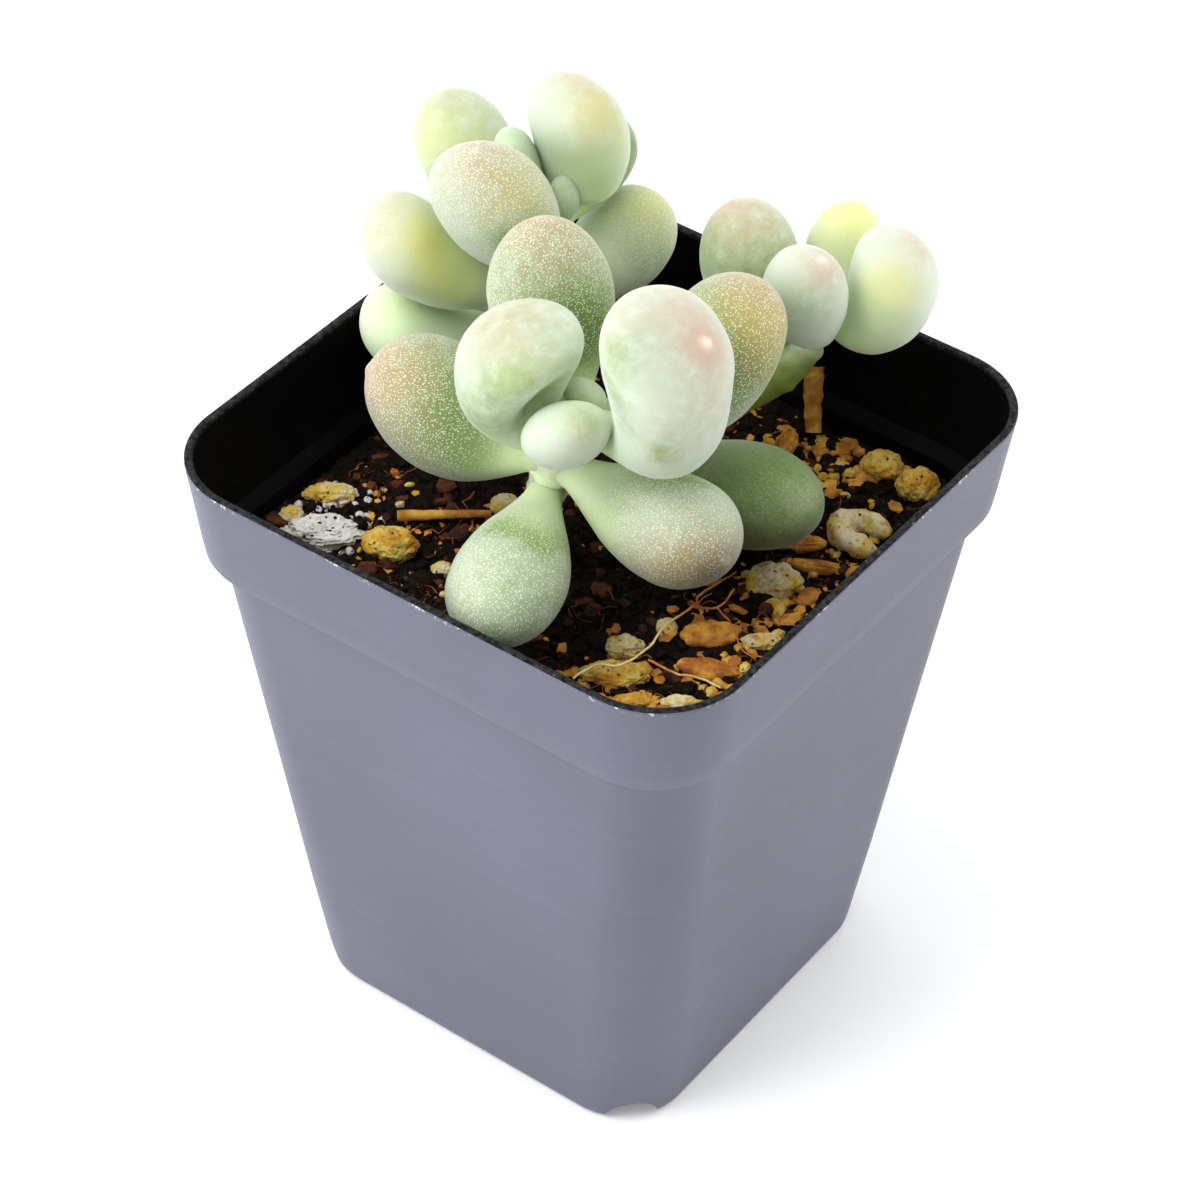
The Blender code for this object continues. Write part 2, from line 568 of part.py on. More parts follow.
thread("stick", BARK, [(-12.6, 18.7, 62.7), (-9.3, 14.7, 62.8), (-5.9, 10.9, 62.6)], radius=0.7)
thread("dry_stalk", ROOT, [(27.3, -9.3, 62.8), (28.9, -8.0, 65.8), (30.6, -6.7, 68.8)], radius=0.8,
       taper=1.2)
root_pieces = [
    thread("root_main", ROOT, [(-23.5, -13.4, 64.6), (-20.6, -14.2, 64.8), (-19.1, -16.4, 65.0),
                               (-15.2, -17.1, 65.0), (-11.5, -16.5, 65.0), (-6.7, -16.9, 64.8),
                               (-4.9, -16.3, 64.6), (-1.1, -16.6, 64.3), (1.2, -16.9, 64.0)],
           ROOT_RADIUS, taper=0.7),
    thread("root_fork", ROOT, [(-8.0, -16.8, 64.9), (-6.3, -17.8, 64.7), (-5.0, -19.0, 64.6),
                               (-1.5, -18.5, 64.3)], ROOT_RADIUS * 0.9, taper=0.7),
    thread("root_low_fork", ROOT, [(-5.6, -18.4, 64.6), (-5.5, -19.5, 64.6), (-6.5, -21.9, 64.3),
                                   (-8.2, -24.2, 63.8), (-8.3, -26.1, 63.2)],
           ROOT_RADIUS * 0.8, taper=0.7),
]
union_of("dry_roots", root_pieces, ROOT)
thread("dry_root_short", ROOT, [(-15.8, -17.6, 64.0), (-15.8, -21.0, 64.0), (-14.3, -23.3, 63.5),
                                (-13.8, -25.4, 62.9)], ROOT_RADIUS, taper=0.7)
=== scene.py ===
# %% [markdown]
# # A fat-leaved graptopetalum in its nursery pot
#
# The plant has three short stems, each with a rosette of leaves as fat as grapes, and it grows in a
# square pot of thin black plastic. The solids of the plant are packed already, so this script loads
# them as a frame and dresses each one with a finer shape and a real finish.

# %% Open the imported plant
from math import acos, atan2, copysign, cos, exp, hypot, pi, radians, sin, sqrt

import bmesh
import bpy
import numpy as np
from mathutils import Matrix, Vector, noise


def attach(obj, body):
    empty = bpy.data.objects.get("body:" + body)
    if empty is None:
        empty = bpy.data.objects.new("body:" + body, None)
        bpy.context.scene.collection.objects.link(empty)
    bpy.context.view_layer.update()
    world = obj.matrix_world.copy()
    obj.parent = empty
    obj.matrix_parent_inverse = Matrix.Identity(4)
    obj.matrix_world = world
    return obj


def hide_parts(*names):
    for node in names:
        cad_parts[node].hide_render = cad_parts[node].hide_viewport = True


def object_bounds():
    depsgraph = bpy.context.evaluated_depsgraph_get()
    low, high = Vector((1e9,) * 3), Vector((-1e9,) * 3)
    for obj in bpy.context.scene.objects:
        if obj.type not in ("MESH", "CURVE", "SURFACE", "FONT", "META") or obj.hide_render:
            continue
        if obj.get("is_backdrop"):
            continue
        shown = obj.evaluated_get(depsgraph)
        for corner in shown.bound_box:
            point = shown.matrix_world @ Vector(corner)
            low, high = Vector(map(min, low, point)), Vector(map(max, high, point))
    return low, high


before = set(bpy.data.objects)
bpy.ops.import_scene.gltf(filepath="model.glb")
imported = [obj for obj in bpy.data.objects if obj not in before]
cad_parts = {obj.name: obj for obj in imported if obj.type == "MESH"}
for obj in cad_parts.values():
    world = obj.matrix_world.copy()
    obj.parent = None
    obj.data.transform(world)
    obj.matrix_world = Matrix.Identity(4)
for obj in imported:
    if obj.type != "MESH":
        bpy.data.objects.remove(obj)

MM = 0.001
scene = bpy.context.scene
noise.seed_set(11)  # without it, vector noise is new on each run
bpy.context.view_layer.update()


def hang(name, data):
    """A new object in the scene for a mesh, a lamp, a lens or a curve."""
    made = bpy.data.objects.new(name, data)
    scene.collection.objects.link(made)
    return made


# %% [markdown]
# ## Camera
#
# A tilted, close view is easiest to repeat when the direction the camera looks in and its right-hand
# side are written down. The long lens keeps the pot's walls nearly straight.

# %% Camera
looks = Vector((0.610, 0.434, -0.663)).normalized()
right_hand = Vector((0.594, -0.804, 0.020)).normalized()
lens = bpy.data.cameras.new("studio_lens")
lens.lens = 119.78
lens.sensor_width = 36.0
lens.clip_start = 0.02
lens.clip_end = 20.0
camera = hang("studio_camera", lens)
stand = Matrix((right_hand, right_hand.cross(looks), -looks)).transposed().to_4x4()
stand.translation = (-0.27102, -0.19276, 0.34629)
camera.matrix_world = stand
scene.camera = camera
print("camera distance in mm:", round(stand.translation.length / MM))

# %% [markdown]
# ## Small helpers for materials
#
# Every finish here is made of nodes, and f stands for the finish at hand. The helpers save typing, and
# make the patterns that all the finishes share. Patterns read Object coordinates, which are metres on
# the real plant, so a scale of 1000 means a pattern about 1 mm wide.

# %% Material helpers


class Nodes:
    def __init__(self, tree, coords):
        self.tree = tree
        self.coords = self.add("TexCoord", coords)

    def fill(self, node, inputs):
        """Wire or set the inputs of a node, by their names or numbers."""
        for key, value in inputs.items():
            socket = node.inputs[key]
            if isinstance(value, bpy.types.NodeSocket):
                self.tree.links.new(value, socket)
            elif isinstance(value, tuple) and len(value) == 3 and socket.type == "RGBA":
                socket.default_value = (*value, 1.0)
            else:
                socket.default_value = value

    def add(self, kind, output, inputs={}, **settings):
        """Add a node, and give back the output that is wanted of it."""
        made = self.tree.nodes.new("ShaderNode" + kind)
        for key, value in settings.items():
            setattr(made, key, value)
        self.fill(made, inputs)
        return made.outputs[output]

    def cloud(self, scale, detail=3.0, rough=0.55, stretch=None):
        """Soft noise from 0 to 1; stretch scales it apart along X, Y and Z."""
        at = self.add("Mapping", 0, {"Vector": self.coords, "Scale": stretch}) if stretch else self.coords
        return self.add("TexNoise", "Fac", {"Vector": at, "Scale": scale, "Detail": detail, "Roughness": rough})

    def cells(self, scale, randomness=1.0):
        """The distance to the middle of the nearest cell of a random foam."""
        return self.add("TexVoronoi", "Distance", {"Vector": self.coords, "Scale": scale, "Randomness": randomness})

    def step(self, value, low, high, bottom=0.0, top=1.0):
        """The bottom below low and the top above high, smooth between; low above high turns it round."""
        ends = {"From Min": low, "From Max": high, "To Min": bottom, "To Max": top}
        return self.add("MapRange", "Result", {"Value": value, **ends}, interpolation_type="SMOOTHSTEP")

    def calc(self, operation, *values, clamp=False):
        return self.add("Math", 0, dict(enumerate(values)), operation=operation, use_clamp=clamp)

    def times(self, a, b):
        return self.calc("MULTIPLY", a, b)

    def blend(self, amount, a, b, how="MIX"):
        return self.add("Mix", 2, {"Factor": amount, 6: a, 7: b}, data_type="RGBA", blend_type=how)

    def coat(self, under, over, amount, strength, how="MIX"):
        """Lay a colour over another, as far as an amount and a strength say."""
        return self.blend(self.times(amount, strength), under, over, how)

    def painted(self, name):
        """A number that was painted on the mesh's points."""
        return self.add("Attribute", "Fac", attribute_name=name)


class Finish(Nodes):
    """A material; more holds further inputs of its shader."""

    def __init__(self, name, roughness, specular, more={}):
        self.mat = bpy.data.materials.new(name)
        self.mat.use_nodes = True
        super().__init__(self.mat.node_tree, "Object")
        self.shader = self.tree.nodes["Principled BSDF"]
        self.fill(self.shader, {"Roughness": roughness, "Specular IOR Level": specular, **more})

    def wear(self, colour, height, depth, strength):
        """Give the shader its colour and its relief, and hand the material over."""
        bump = self.add("Bump", "Normal", {"Height": height, "Distance": depth, "Strength": strength})
        self.fill(self.shader, {"Base Color": colour, "Normal": bump})
        print(self.mat.name, "has", len(self.tree.nodes), "nodes")
        return self.mat


# %% [markdown]
# ## Light and floor
#
# The picture is high key: a white sheet under the pot and white all round. One large soft lamp stands
# high on the left, a weaker one low on the left, and a tiny one near the pot brightens its right edge.
# The lamps are area lights, because small ones would draw hard shadows of the leaves on each other.
# The room is darker on the side where the viewer stands, which gives round things a bright rim.

# %% Light
world = bpy.data.worlds.new("white_room")
scene.world = world
world.use_nodes = True
VIEWER_SIDE = (-0.71, -0.57, 0.41)
BRIGHT, DIM = 1.27, 0.46
room = Nodes(world.node_tree, "Generated")
facing = room.add("VectorMath", "Value", {0: room.coords, 1: VIEWER_SIDE}, operation="DOT_PRODUCT")
glow = room.step(facing, 0.38, 0.96, BRIGHT, DIM)
room.fill(room.tree.nodes["Background"], {"Color": (0.985, 0.99, 1.0), "Strength": glow})
scene.view_settings.view_transform = "Standard"

PLANT_MIDDLE = (0.0, 0.0, 0.06)
POT_CORNER = (0.03, -0.035, 0.07)
# Each lamp: its name, place, size in metres, watts, colour and what it is aimed at.
LAMPS = (
    ("lamp_high_left", (-0.46, 0.22, 0.74), 0.45, 3.2, (1.0, 0.99, 0.97), PLANT_MIDDLE),
    ("lamp_left", (-0.72, 0.30, 0.30), 0.6, 1.8, (0.94, 0.96, 1.0), PLANT_MIDDLE),
    ("lamp_near_right", (0.085, -0.085, 0.115), 0.05, 0.018, (1.0, 1.0, 1.0), POT_CORNER),
)
for name, at, size, watts, colour, aim in LAMPS:
    lamp = bpy.data.lights.new(name, "AREA")
    lamp.shape, lamp.size, lamp.energy, lamp.color = "DISK", size, watts, colour
    holder = hang(name, lamp)
    holder.location = at
    holder.rotation_mode = "QUATERNION"
    holder.rotation_quaternion = (Vector(aim) - Vector(at)).to_track_quat("-Z", "Y")
print("lamps:", len(LAMPS))

# %% Floor
FLOOR_HALF = 1.6
FLOOR_GAP = 0.0002
FLOOR_GLOW = 0.16
bm = bmesh.new()
bmesh.ops.create_grid(bm, x_segments=2, y_segments=2, size=FLOOR_HALF)
bmesh.ops.translate(bm, vec=(0, 0, -FLOOR_GAP), verts=bm.verts)
sheet = bpy.data.meshes.new("paper_floor")
bm.to_mesh(sheet)
bm.free()
floor = hang("paper_floor", sheet)
# The paper glows a little: painted light, which keeps the floor white and lights the pot faintly from below.
f = Finish("white_paper", 0.9, 0.1, {"Emission Color": (1.0, 1.0, 1.0), "Emission Strength": FLOOR_GLOW})
f.fill(f.shader, {"Base Color": f.blend(f.cloud(60), (0.90, 0.91, 0.93), (0.94, 0.945, 0.955))})
sheet.materials.append(f.mat)
floor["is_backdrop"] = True

# %% [markdown]
# ## Small helpers for shapes
#
# A new shape is always finished the same way: its mesh is scaled from millimetres to metres, its faces
# are turned outward, and it gets its finish and its body, and the solid it stands for is hidden. Smooth
# lines are drawn through a few points by a Catmull-Rom curve, and every stem, root and fibre is a tube
# along such a line.

# %% Shape helpers


def show(name, mesh, finishes, solids=(), sharp=60):
    """Hang a finished mesh in the scene, in place of the solids it stands for."""
    mesh.name = name
    mesh.shade_smooth()
    mesh.set_sharp_from_angle(angle=radians(sharp))
    for finish in finishes[len(mesh.materials):]:
        mesh.materials.append(finish)
    piece = hang(name, mesh)
    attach(piece, "root")
    if solids:
        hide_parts(*solids)
    print(name, "has", len(mesh.vertices), "points")


def to_mesh(bm, turn_out=True):
    """The bmesh, modelled in millimetres, as a mesh in metres."""
    bmesh.ops.scale(bm, vec=(MM, MM, MM), verts=bm.verts)
    if turn_out:
        bmesh.ops.recalc_face_normals(bm, faces=bm.faces)
    mesh = bpy.data.meshes.new("shape")
    bm.to_mesh(mesh)
    bm.free()
    return mesh


def as_shown(holder):
    """The mesh of an object with its modifiers or its curve worked out."""
    return bpy.data.meshes.new_from_object(holder.evaluated_get(bpy.context.evaluated_depsgraph_get()))


def smooth_line(points, steps=30):
    pts = [np.array(p, float) for p in points]
    pts = [2 * pts[0] - pts[1]] + pts + [2 * pts[-1] - pts[-2]]
    line = []
    for a, b, c, d in zip(pts, pts[1:], pts[2:], pts[3:]):
        for t in np.linspace(0.0, 1.0, steps, endpoint=False):
            line.append(0.5 * (2 * b + (c - a) * t + (2 * a - 5 * b + 4 * c - d) * t ** 2
                               + (3 * b - a - 3 * c + d) * t ** 3))
    line.append(pts[-2])
    return np.array(line)


def tubes(lines, sides):
    """One mesh of round tubes: each line is a list of points with their radii, in millimetres."""
    curve = bpy.data.curves.new("tubes", "CURVE")
    curve.dimensions = "3D"
    curve.bevel_depth = MM
    curve.bevel_resolution = sides
    curve.use_fill_caps = True
    for points, radii in lines:
        spline = curve.splines.new("POLY")
        spline.points.add(len(points) - 1)
        for spot, point, radius in zip(spline.points, points, radii):
            spot.co = (point[0] * MM, point[1] * MM, point[2] * MM, 1.0)
            spot.radius = radius
    holder = hang("tubes", curve)
    mesh = as_shown(holder)
    bpy.data.objects.remove(holder, do_unlink=True)
    bm = bmesh.new()
    bm.from_mesh(mesh)
    bmesh.ops.remove_doubles(bm, verts=bm.verts, dist=1e-6)
    bmesh.ops.recalc_face_normals(bm, faces=bm.faces)
    bm.to_mesh(mesh)
    bm.free()
    return mesh


def roughen(mesh, depth, scale, seed):
    """Push the points of a mesh in and out along their normals by noise; depth in millimetres."""
    shift = Vector((seed * 7.3, seed * 3.1, seed * 5.9))
    for vert, normal in zip(mesh.vertices, [v.normal.copy() for v in mesh.vertices]):
        vert.co += normal * depth * MM * noise.fractal(vert.co * scale + shift, 0.7, 2.0, 3)
    return mesh


def unit(value):
    """A value kept from 0 to 1."""
    return max(0.0, min(1.0, value))


def paint_age(mesh, age_at):
    """Give each point its age, from 0 to 1, by its place in millimetres."""
    age = mesh.attributes.new("age", "FLOAT", "POINT")
    for vert, mark in zip(mesh.vertices, age.data):
        mark.value = unit(age_at(*(vert.co / MM)))
    return mesh


# %% [markdown]
# ## The finish of a leaf
#
# A graptopetalum leaf is green flesh under a white powder that rubs off at a touch. Where the sun has
# tanned it, it turns olive, yellow or pink, and fine pale dots show through. One material does all of
# this: it reads how much of each there is from numbers that are painted on the leaf's points later,
# and breaks their edges up with noise. Three of the numbers paint light and shade into the colour: a
# bright green is painted light on parts in shade, a dark tint is painted shade, and a pale spot is a
# painted highlight on a tip's point. A little light goes through the flesh, so it scatters below the
# surface, and a weak sheen stands for the powder at the edges.

# %% Leaf finish
f = Finish("leaf_skin", 0.55, 0.35, {
    "Subsurface Weight": 0.5, "Subsurface Radius": (0.8, 1.0, 0.6), "Subsurface Scale": 0.004,
    "Sheen Weight": 0.35, "Sheen Roughness": 0.4, "Sheen Tint": (0.96, 1.0, 0.96)})
slow = f.cloud(130, 2.0)
fine = f.cloud(700, 4.0, 0.65)
grain = f.cloud(3600, 3.0, 0.7)


def ragged(paint, spread):
    """A painted amount whose soft edge is broken up with the fine noise."""
    amount = f.painted(paint)
    shifted = f.times(f.calc("SUBTRACT", fine, 0.5), spread)
    inside = f.times(amount, f.calc("SUBTRACT", 1.0, amount))
    return f.calc("ADD", amount, f.times(shifted, f.times(inside, 6.0)), clamp=True)


powder = f.blend(f.step(slow, 0.3, 0.7), (0.595, 0.680, 0.545), (0.650, 0.700, 0.595))
powder = f.coat(powder, (0.70, 0.745, 0.67), f.step(fine, 0.45, 0.75), 0.5)
flesh = f.blend(f.step(slow, 0.35, 0.65), (0.200, 0.335, 0.075), (0.270, 0.395, 0.120))
skin = f.blend(ragged("rub", 0.9), powder, flesh)
for paint, spread, colour in (("tan", 0.8, (0.47, 0.355, 0.135)), ("yellow", 0.5, (0.84, 0.82, 0.22)),
                              ("blush", 0.7, (0.58, 0.385, 0.28))):
    skin = f.coat(skin, colour, ragged(paint, spread), 0.85)
# Painted light: a bright green on parts that lie in shade, standing in for light through the flesh.
skin = f.coat(skin, (0.75, 0.90, 0.51), f.painted("fresh"), 0.9)
# Painted highlight: a pale spot on the tip's tiny point.
skin = f.blend(f.painted("point"), skin, (0.90, 0.80, 0.72))
# Painted shade: a dark tint multiplied in where a leaf lies in shade.
skin = f.blend(f.painted("painted_shade"), skin, (0.42, 0.47, 0.34), "MULTIPLY")

dots = f.times(f.painted("dots"), f.step(fine, 0.05, 0.38))
skin = f.coat(skin, (0.64, 0.66, 0.50), dots, 0.45, "MULTIPLY")
dot = f.times(f.step(f.cells(4300, 0.9), 0.42, 0.18), dots)
skin = f.coat(skin, (0.90, 0.92, 0.80), dot, 0.85)
speck = f.step(f.cells(210), 0.050, 0.030)
skin = f.coat(skin, (0.05, 0.04, 0.02), speck, f.painted("specks"))
leaf_skin = f.wear(skin, f.calc("ADD", f.times(grain, 0.6), f.times(dot, 0.5)), 0.00007, 0.7)

# %% [markdown]
# ## The shape of a leaf
#
# A leaf starts as a ball. Its points are moved by one formula: a narrow neck swells to the widest
# place and closes in a round end, and the middle line sags, so that the tip turns up. The same formula
# and nearly the same sizes made the solids, so the fine leaf lies on its solid. Soft dents are pressed
# in where a neighbour once lay against the leaf in the bud, and the tip carries a tiny point with a
# painted highlight.

# %% Stem lines and leaf formula
STEM_LINES = {
    "front": [(-8.5, 3.0, 62.0), (-9.5, 1.0, 72.0), (-9.5, -1.0, 80.0), (-8.5, -3.0, 86.0),
              (-8.0, -4.2, 89.5)],
    "back": [(14.0, 17.5, 62.0), (13.5, 18.0, 72.0), (13.5, 17.5, 82.0), (14.0, 17.5, 90.5)],
    "right": [(9.0, 3.5, 62.0), (14.5, -1.0, 68.2), (19.0, -5.5, 72.0), (22.5, -9.0, 76.0),
              (24.5, -11.0, 80.5), (25.3, -11.7, 82.0)],
}
STEM_PATHS = {stem: smooth_line(points) for stem, points in STEM_LINES.items()}
# Three of these paints are light and shade: a bright green is painted light, a dark tint is painted shade, and the
# tip's pale spot is a painted highlight.
PAINTS = ("rub", "tan", "yellow", "blush", "fresh", "dots", "specks", "painted_shade", "point")
THICK_NECK = 0.4    # a neck fatter than this share of the width closes in a cap of its own
CAP = 0.18          # how far along the leaf that cap reaches
ROOTED = 1.8        # how deep a thin neck reaches into the stem, in millimetres
BOW_TO_ONE = 6.75   # scales the bow's curve to a height of 1


def stem_point(stem, height):
    path = STEM_PATHS[stem]
    x, y = (np.interp(height, path[:, 2], path[:, axis]) for axis in (0, 1))
    return Vector((x, y, height))


def leaf_formula(stem, height, turn, rise, length, width, thick, widest, twist=0, curl=0.1, offset=1.8,
                 neck=0.3, lift=0.0, away=(0.0, 0.0)):
    """The place of a leaf's point, u of the way from neck to tip and at an angle round the middle.

    lift starts the leaf farther out, and away moves its neck and its tip away from the camera.
    """
    turn, rise, twist = radians(turn), radians(rise), radians(twist)
    out = Vector((cos(turn), sin(turn), 0.0))
    ahead = out * cos(rise) + Vector((0, 0, sin(rise)))
    base = stem_point(stem, height) + out * offset + ahead * lift
    length -= lift
    level = Vector((-sin(turn), cos(turn), 0.0))
    upper = ahead.cross(level)
    side = level * cos(twist) + upper * sin(twist)
    top = upper * cos(twist) - level * sin(twist)

    def swell(u):
        if u > widest:
            return sqrt(max(0.0, 1.0 - ((u - widest) / (1.0 - widest)) ** 2))
        cap = sqrt(max(0.0, 1.0 - (1.0 - min(1.0, u / CAP)) ** 2)) if neck > THICK_NECK else 1.0
        return (neck + (1.0 - neck) * sin(pi / 2 * u / widest) ** 1.35) * cap

    def place(u, angle, fat=1.0):
        bow = BOW_TO_ONE * u * (1.0 - u) ** 2
        rooted = ROOTED * max(0.0, 1.0 - u / 0.03) if neck < THICK_NECK else 0.0
        middle = base + ahead * (length * u - rooted) - top * curl * length * bow
        middle = middle + looks * (away[0] + (away[1] - away[0]) * u)
        across = side * (width / 2 * cos(angle)) + top * (thick / 2 * sin(angle))
        return middle, middle + across * swell(u) * fat

    return place


# %% [markdown]
# ## Painting a leaf
#
# Each mark is a soft spot: how far along the leaf its middle lies, how far round in degrees, how wide
# it is in millimetres and how strong. A dent is written in the same way, with its depth in
# millimetres. An amount for the whole leaf is given by name, such as rub=0.4. The neck of a leaf gets
# painted light, a bright green where it lies in shade, and no dots.

# %% Make a leaf
POINT_REACH = 0.7   # how wide the tip's tiny point is, in millimetres
SIZES = ("height", "turn", "rise", "length", "width", "thick", "widest", "twist", "curl")


def soft(distance, size):
    return exp(-(distance / size) ** 2)


def make_leaf(name, sizes, marks, dents=(), tip=None, solids=True, sides=72, rings=60, **overall):
    place = leaf_formula(**sizes)
    bm = bmesh.new()
    layers = {paint: bm.verts.layers.float.new(paint) for paint in PAINTS}
    bmesh.ops.create_uvsphere(bm, u_segments=sides, v_segments=rings, radius=1.0)
    spots = [(kind, place(u, radians(angle))[1], size, amount)
             for kind, listed in marks.items() for u, angle, size, amount in listed]
    hollows = [(place(u, radians(angle))[1], size, depth) for u, angle, size, depth in dents]
    if tip:
        point = place(tip[0], radians(tip[1]))[1]
        peak = (point - place(sizes["widest"], 0.0)[0]).normalized() * tip[2]
    shift = Vector((len(name) * 1.7, sizes["turn"] * 0.37, sizes["height"] * 0.53))
    for vert in bm.verts:
        along = acos(max(-1.0, min(1.0, -vert.co.z))) / pi
        u = (1.0 - cos(pi * along)) / 2.0
        pole = along < 0.001 or along > 0.999
        middle, at = place(u, atan2(vert.co.y, vert.co.x), 0.0 if pole else 1.0)
        values = {paint: overall.get(paint, 0.0) for paint in PAINTS}
        # Painted light on every neck: a bright green where it lies in the shade of the leaves round it.
        values["fresh"] += 0.85 * soft(u, 0.27)
        values["dots"] *= 1.0 - soft(u, 0.26)
        for kind, centre, size, amount in spots:
            values[kind] += amount * soft((at - centre).length, size)
        outward = Vector((0, 0, 0)) if pole else (at - middle).normalized()
        push = 0.16 * noise.noise(at * 0.16 + shift) + 0.05 * noise.noise(at * 0.5 + shift)
        for centre, size, depth in hollows:
            push -= depth * soft((at - centre).length, size)
        at = at + outward * push * min(1.0, 3.0 * u)
        if tip:
            near = soft((at - point).length, POINT_REACH)
            at = at + peak * near
            # The pale paint on the tip's point is a painted highlight.
            values["point"] = 1.4 * tip[2] * near
        for paint in PAINTS:
            vert[layers[paint]] = unit(values[paint])
        vert.co = at
    show(name, to_mesh(bm), [leaf_skin], [name.replace("skin_", "")] if solids else ())


def rosette(stem, leaves):
    """Make a stem's leaves; each has its sizes, its neck, its marks and the amounts for the whole."""
    for name, (sizes, neck, marks, more) in leaves.items():
        make_leaf(f"skin_leaf_{stem}_{name}", dict(zip(SIZES, sizes), stem=stem, **neck), marks, **more)


# %% [markdown]
# ## The front rosette
#
# These are the eight leaves nearest to the camera, and they show the most: the powder with its dots,
# the tan on the tips, the green patches where something rubbed them, and the dark specks of old scars.

# %% Front rosette
# Among the marks, the dark tint is painted shade and the bright green is painted light.
rosette("front", {
    "upper_right": (
        (85, 54, 48, 20, 13.5, 10.5, 0.58, -10, 0.17), {},
        dict(tan=[(0.9, 98, 6.5, 0.45)], blush=[(0.97, 90, 5, 0.55)], rub=[(0.5, 112, 5, 0.55),
             (0.3, 120, 4, 0.8)], painted_shade=[(0.28, 120, 4, 1)], specks=[(0.93, 108, 3, 1)]),
        dict(rub=0.25, dots=1, tip=(0.98, 95, 0.2))),
    "left": (
        (78.5, 92, 6, 22, 14.5, 12.5, 0.6, -5, 0.1), {},
        dict(blush=[(0.93, 25, 5, 0.95), (0.6, -5, 5, 0.35)], tan=[(0.72, 60, 4.6, 0.85)],
             rub=[(0.45, 62, 6, 0.65), (0.27, 42, 3.5, 0.8)], painted_shade=[(0.38, 55, 5, 0.35), (0.27, 42, 3, 0.4)]),
        dict(rub=0.35, dots=1, tip=(0.97, 30, 0.25))),
    "upper": (
        (81.5, 143, 79, 17, 13.5, 13.5, 0.76, 0, 0.15), {},
        dict(tan=[(0.99, -142, 4.5, 0.35)], blush=[(0.99, -30, 4.5, 0.25)], yellow=[(0.9, -24, 3, 0.12)],
             rub=[(0.87, -20, 2.2, 0.45), (0.77, -38, 2, 0.4), (0.49, -52, 3, 0.45), (0.6, 30, 2.4, 0.45),
             (0.48, 14, 2.4, 0.5), (0.69, 42, 1.8, 0.3)]),
        dict(dents=[(0.5, 16, 3.4, 1.9), (0.62, 32, 2.8, 1.5), (0.4, 2, 3.2, 1.5)], rub=0.22, dots=0.12)),
    "middle": (
        (85, 260, 58, 22.5, 15, 14.5, 0.8, 10, 0.27), {},
        dict(blush=[(0.975, -64, 2.8, 0.7), (0.99, 10, 5, 0.45), (0.93, -80, 4, 0.2)],
             tan=[(0.82, -105, 4.5, 0.25), (0.6, -138, 1.7, 0.35), (0.9, 120, 4, 0.15)],
             rub=[(0.9, 155, 2.4, 0.35), (0.62, -144, 1.7, 0.6), (0.77, 158, 1.6, 0.3), (0.72, 170, 1.6, 0.35),
             (0.62, 178, 1.6, 0.35)]),
        dict(dents=[(0.72, 170, 2.6, 0.6), (0.6, 178, 2.6, 0.6)], rub=0.1, dots=0.12, tip=(0.978, -62, 0.7))),
    "right": (
        (81.5, -33, 32, 25.5, 14.5, 12, 0.64, 5, 0.13), {},
        dict(blush=[(0.97, 100, 4, 0.5), (0.8, 60, 4, 0.25)], tan=[(0.95, 130, 5.5, 1), (0.82, 165, 4.5, 0.6)],
             yellow=[(0.88, 140, 4.5, 0.3)], rub=[(0.7, 128, 5.5, 0.95)], painted_shade=[(0.62, 150, 6, 0.6)]),
        dict(rub=0.45, dots=0.9, tip=(0.98, 135, 0.15))),
    "young": (
        (84.3, 203, 23, 9.2, 9.4, 7, 0.55, 25, 0.06), dict(offset=0, neck=0.62, away=(-3, -3)),
        dict(tan=[(0.93, 0, 1.6, 0.45)], rub=[(0.8, 30, 1.8, 0.35), (0.35, 40, 1.8, 0.3)],
             specks=[(0.5, 60, 3, 1)], fresh=[(0.5, 70, 3, 0.5)]), dict(rub=0.1, dots=0.05)),
    "low": (
        (78, -85, -9, 20.5, 13, 11, 0.66, 5, 0.03), {},
        dict(fresh=[(0.38, -140, 3, 0.9), (0.36, 176, 3, 0.7)], rub=[(0.36, 140, 2, 0.5), (0.4, 80, 2, 0.5),
             (0.52, 64, 2.6, 0.95), (0.62, 60, 2.2, 0.5)], tan=[(0.92, 145, 4, 0.65), (0.8, 178, 3.6, 0.6),
             (0.6, 180, 4, 0.25)], blush=[(0.97, 172, 3.2, 1)], painted_shade=[(0.96, 176, 2.6, 0.6)]),
        dict(rub=0.05, dots=1, tip=(0.985, 150, 0.3))),
    "low_left": (
        (75, 201, -3, 22.5, 12.5, 11, 0.6, 5, 0.03), {},
        dict(rub=[(0.47, 102, 1.9, 1), (0.42, 80, 1.9, 0.75), (0.5, 56, 2, 0.9), (0.38, 30, 2, 0.7),
             (0.45, 66, 2.2, 0.8), (0.97, -20, 5, 0.15), (0.75, 20, 5, 0.2)], fresh=[(0.36, 70, 2.6, 0.7)]),
        dict(rub=0.22, dots=1)),
})
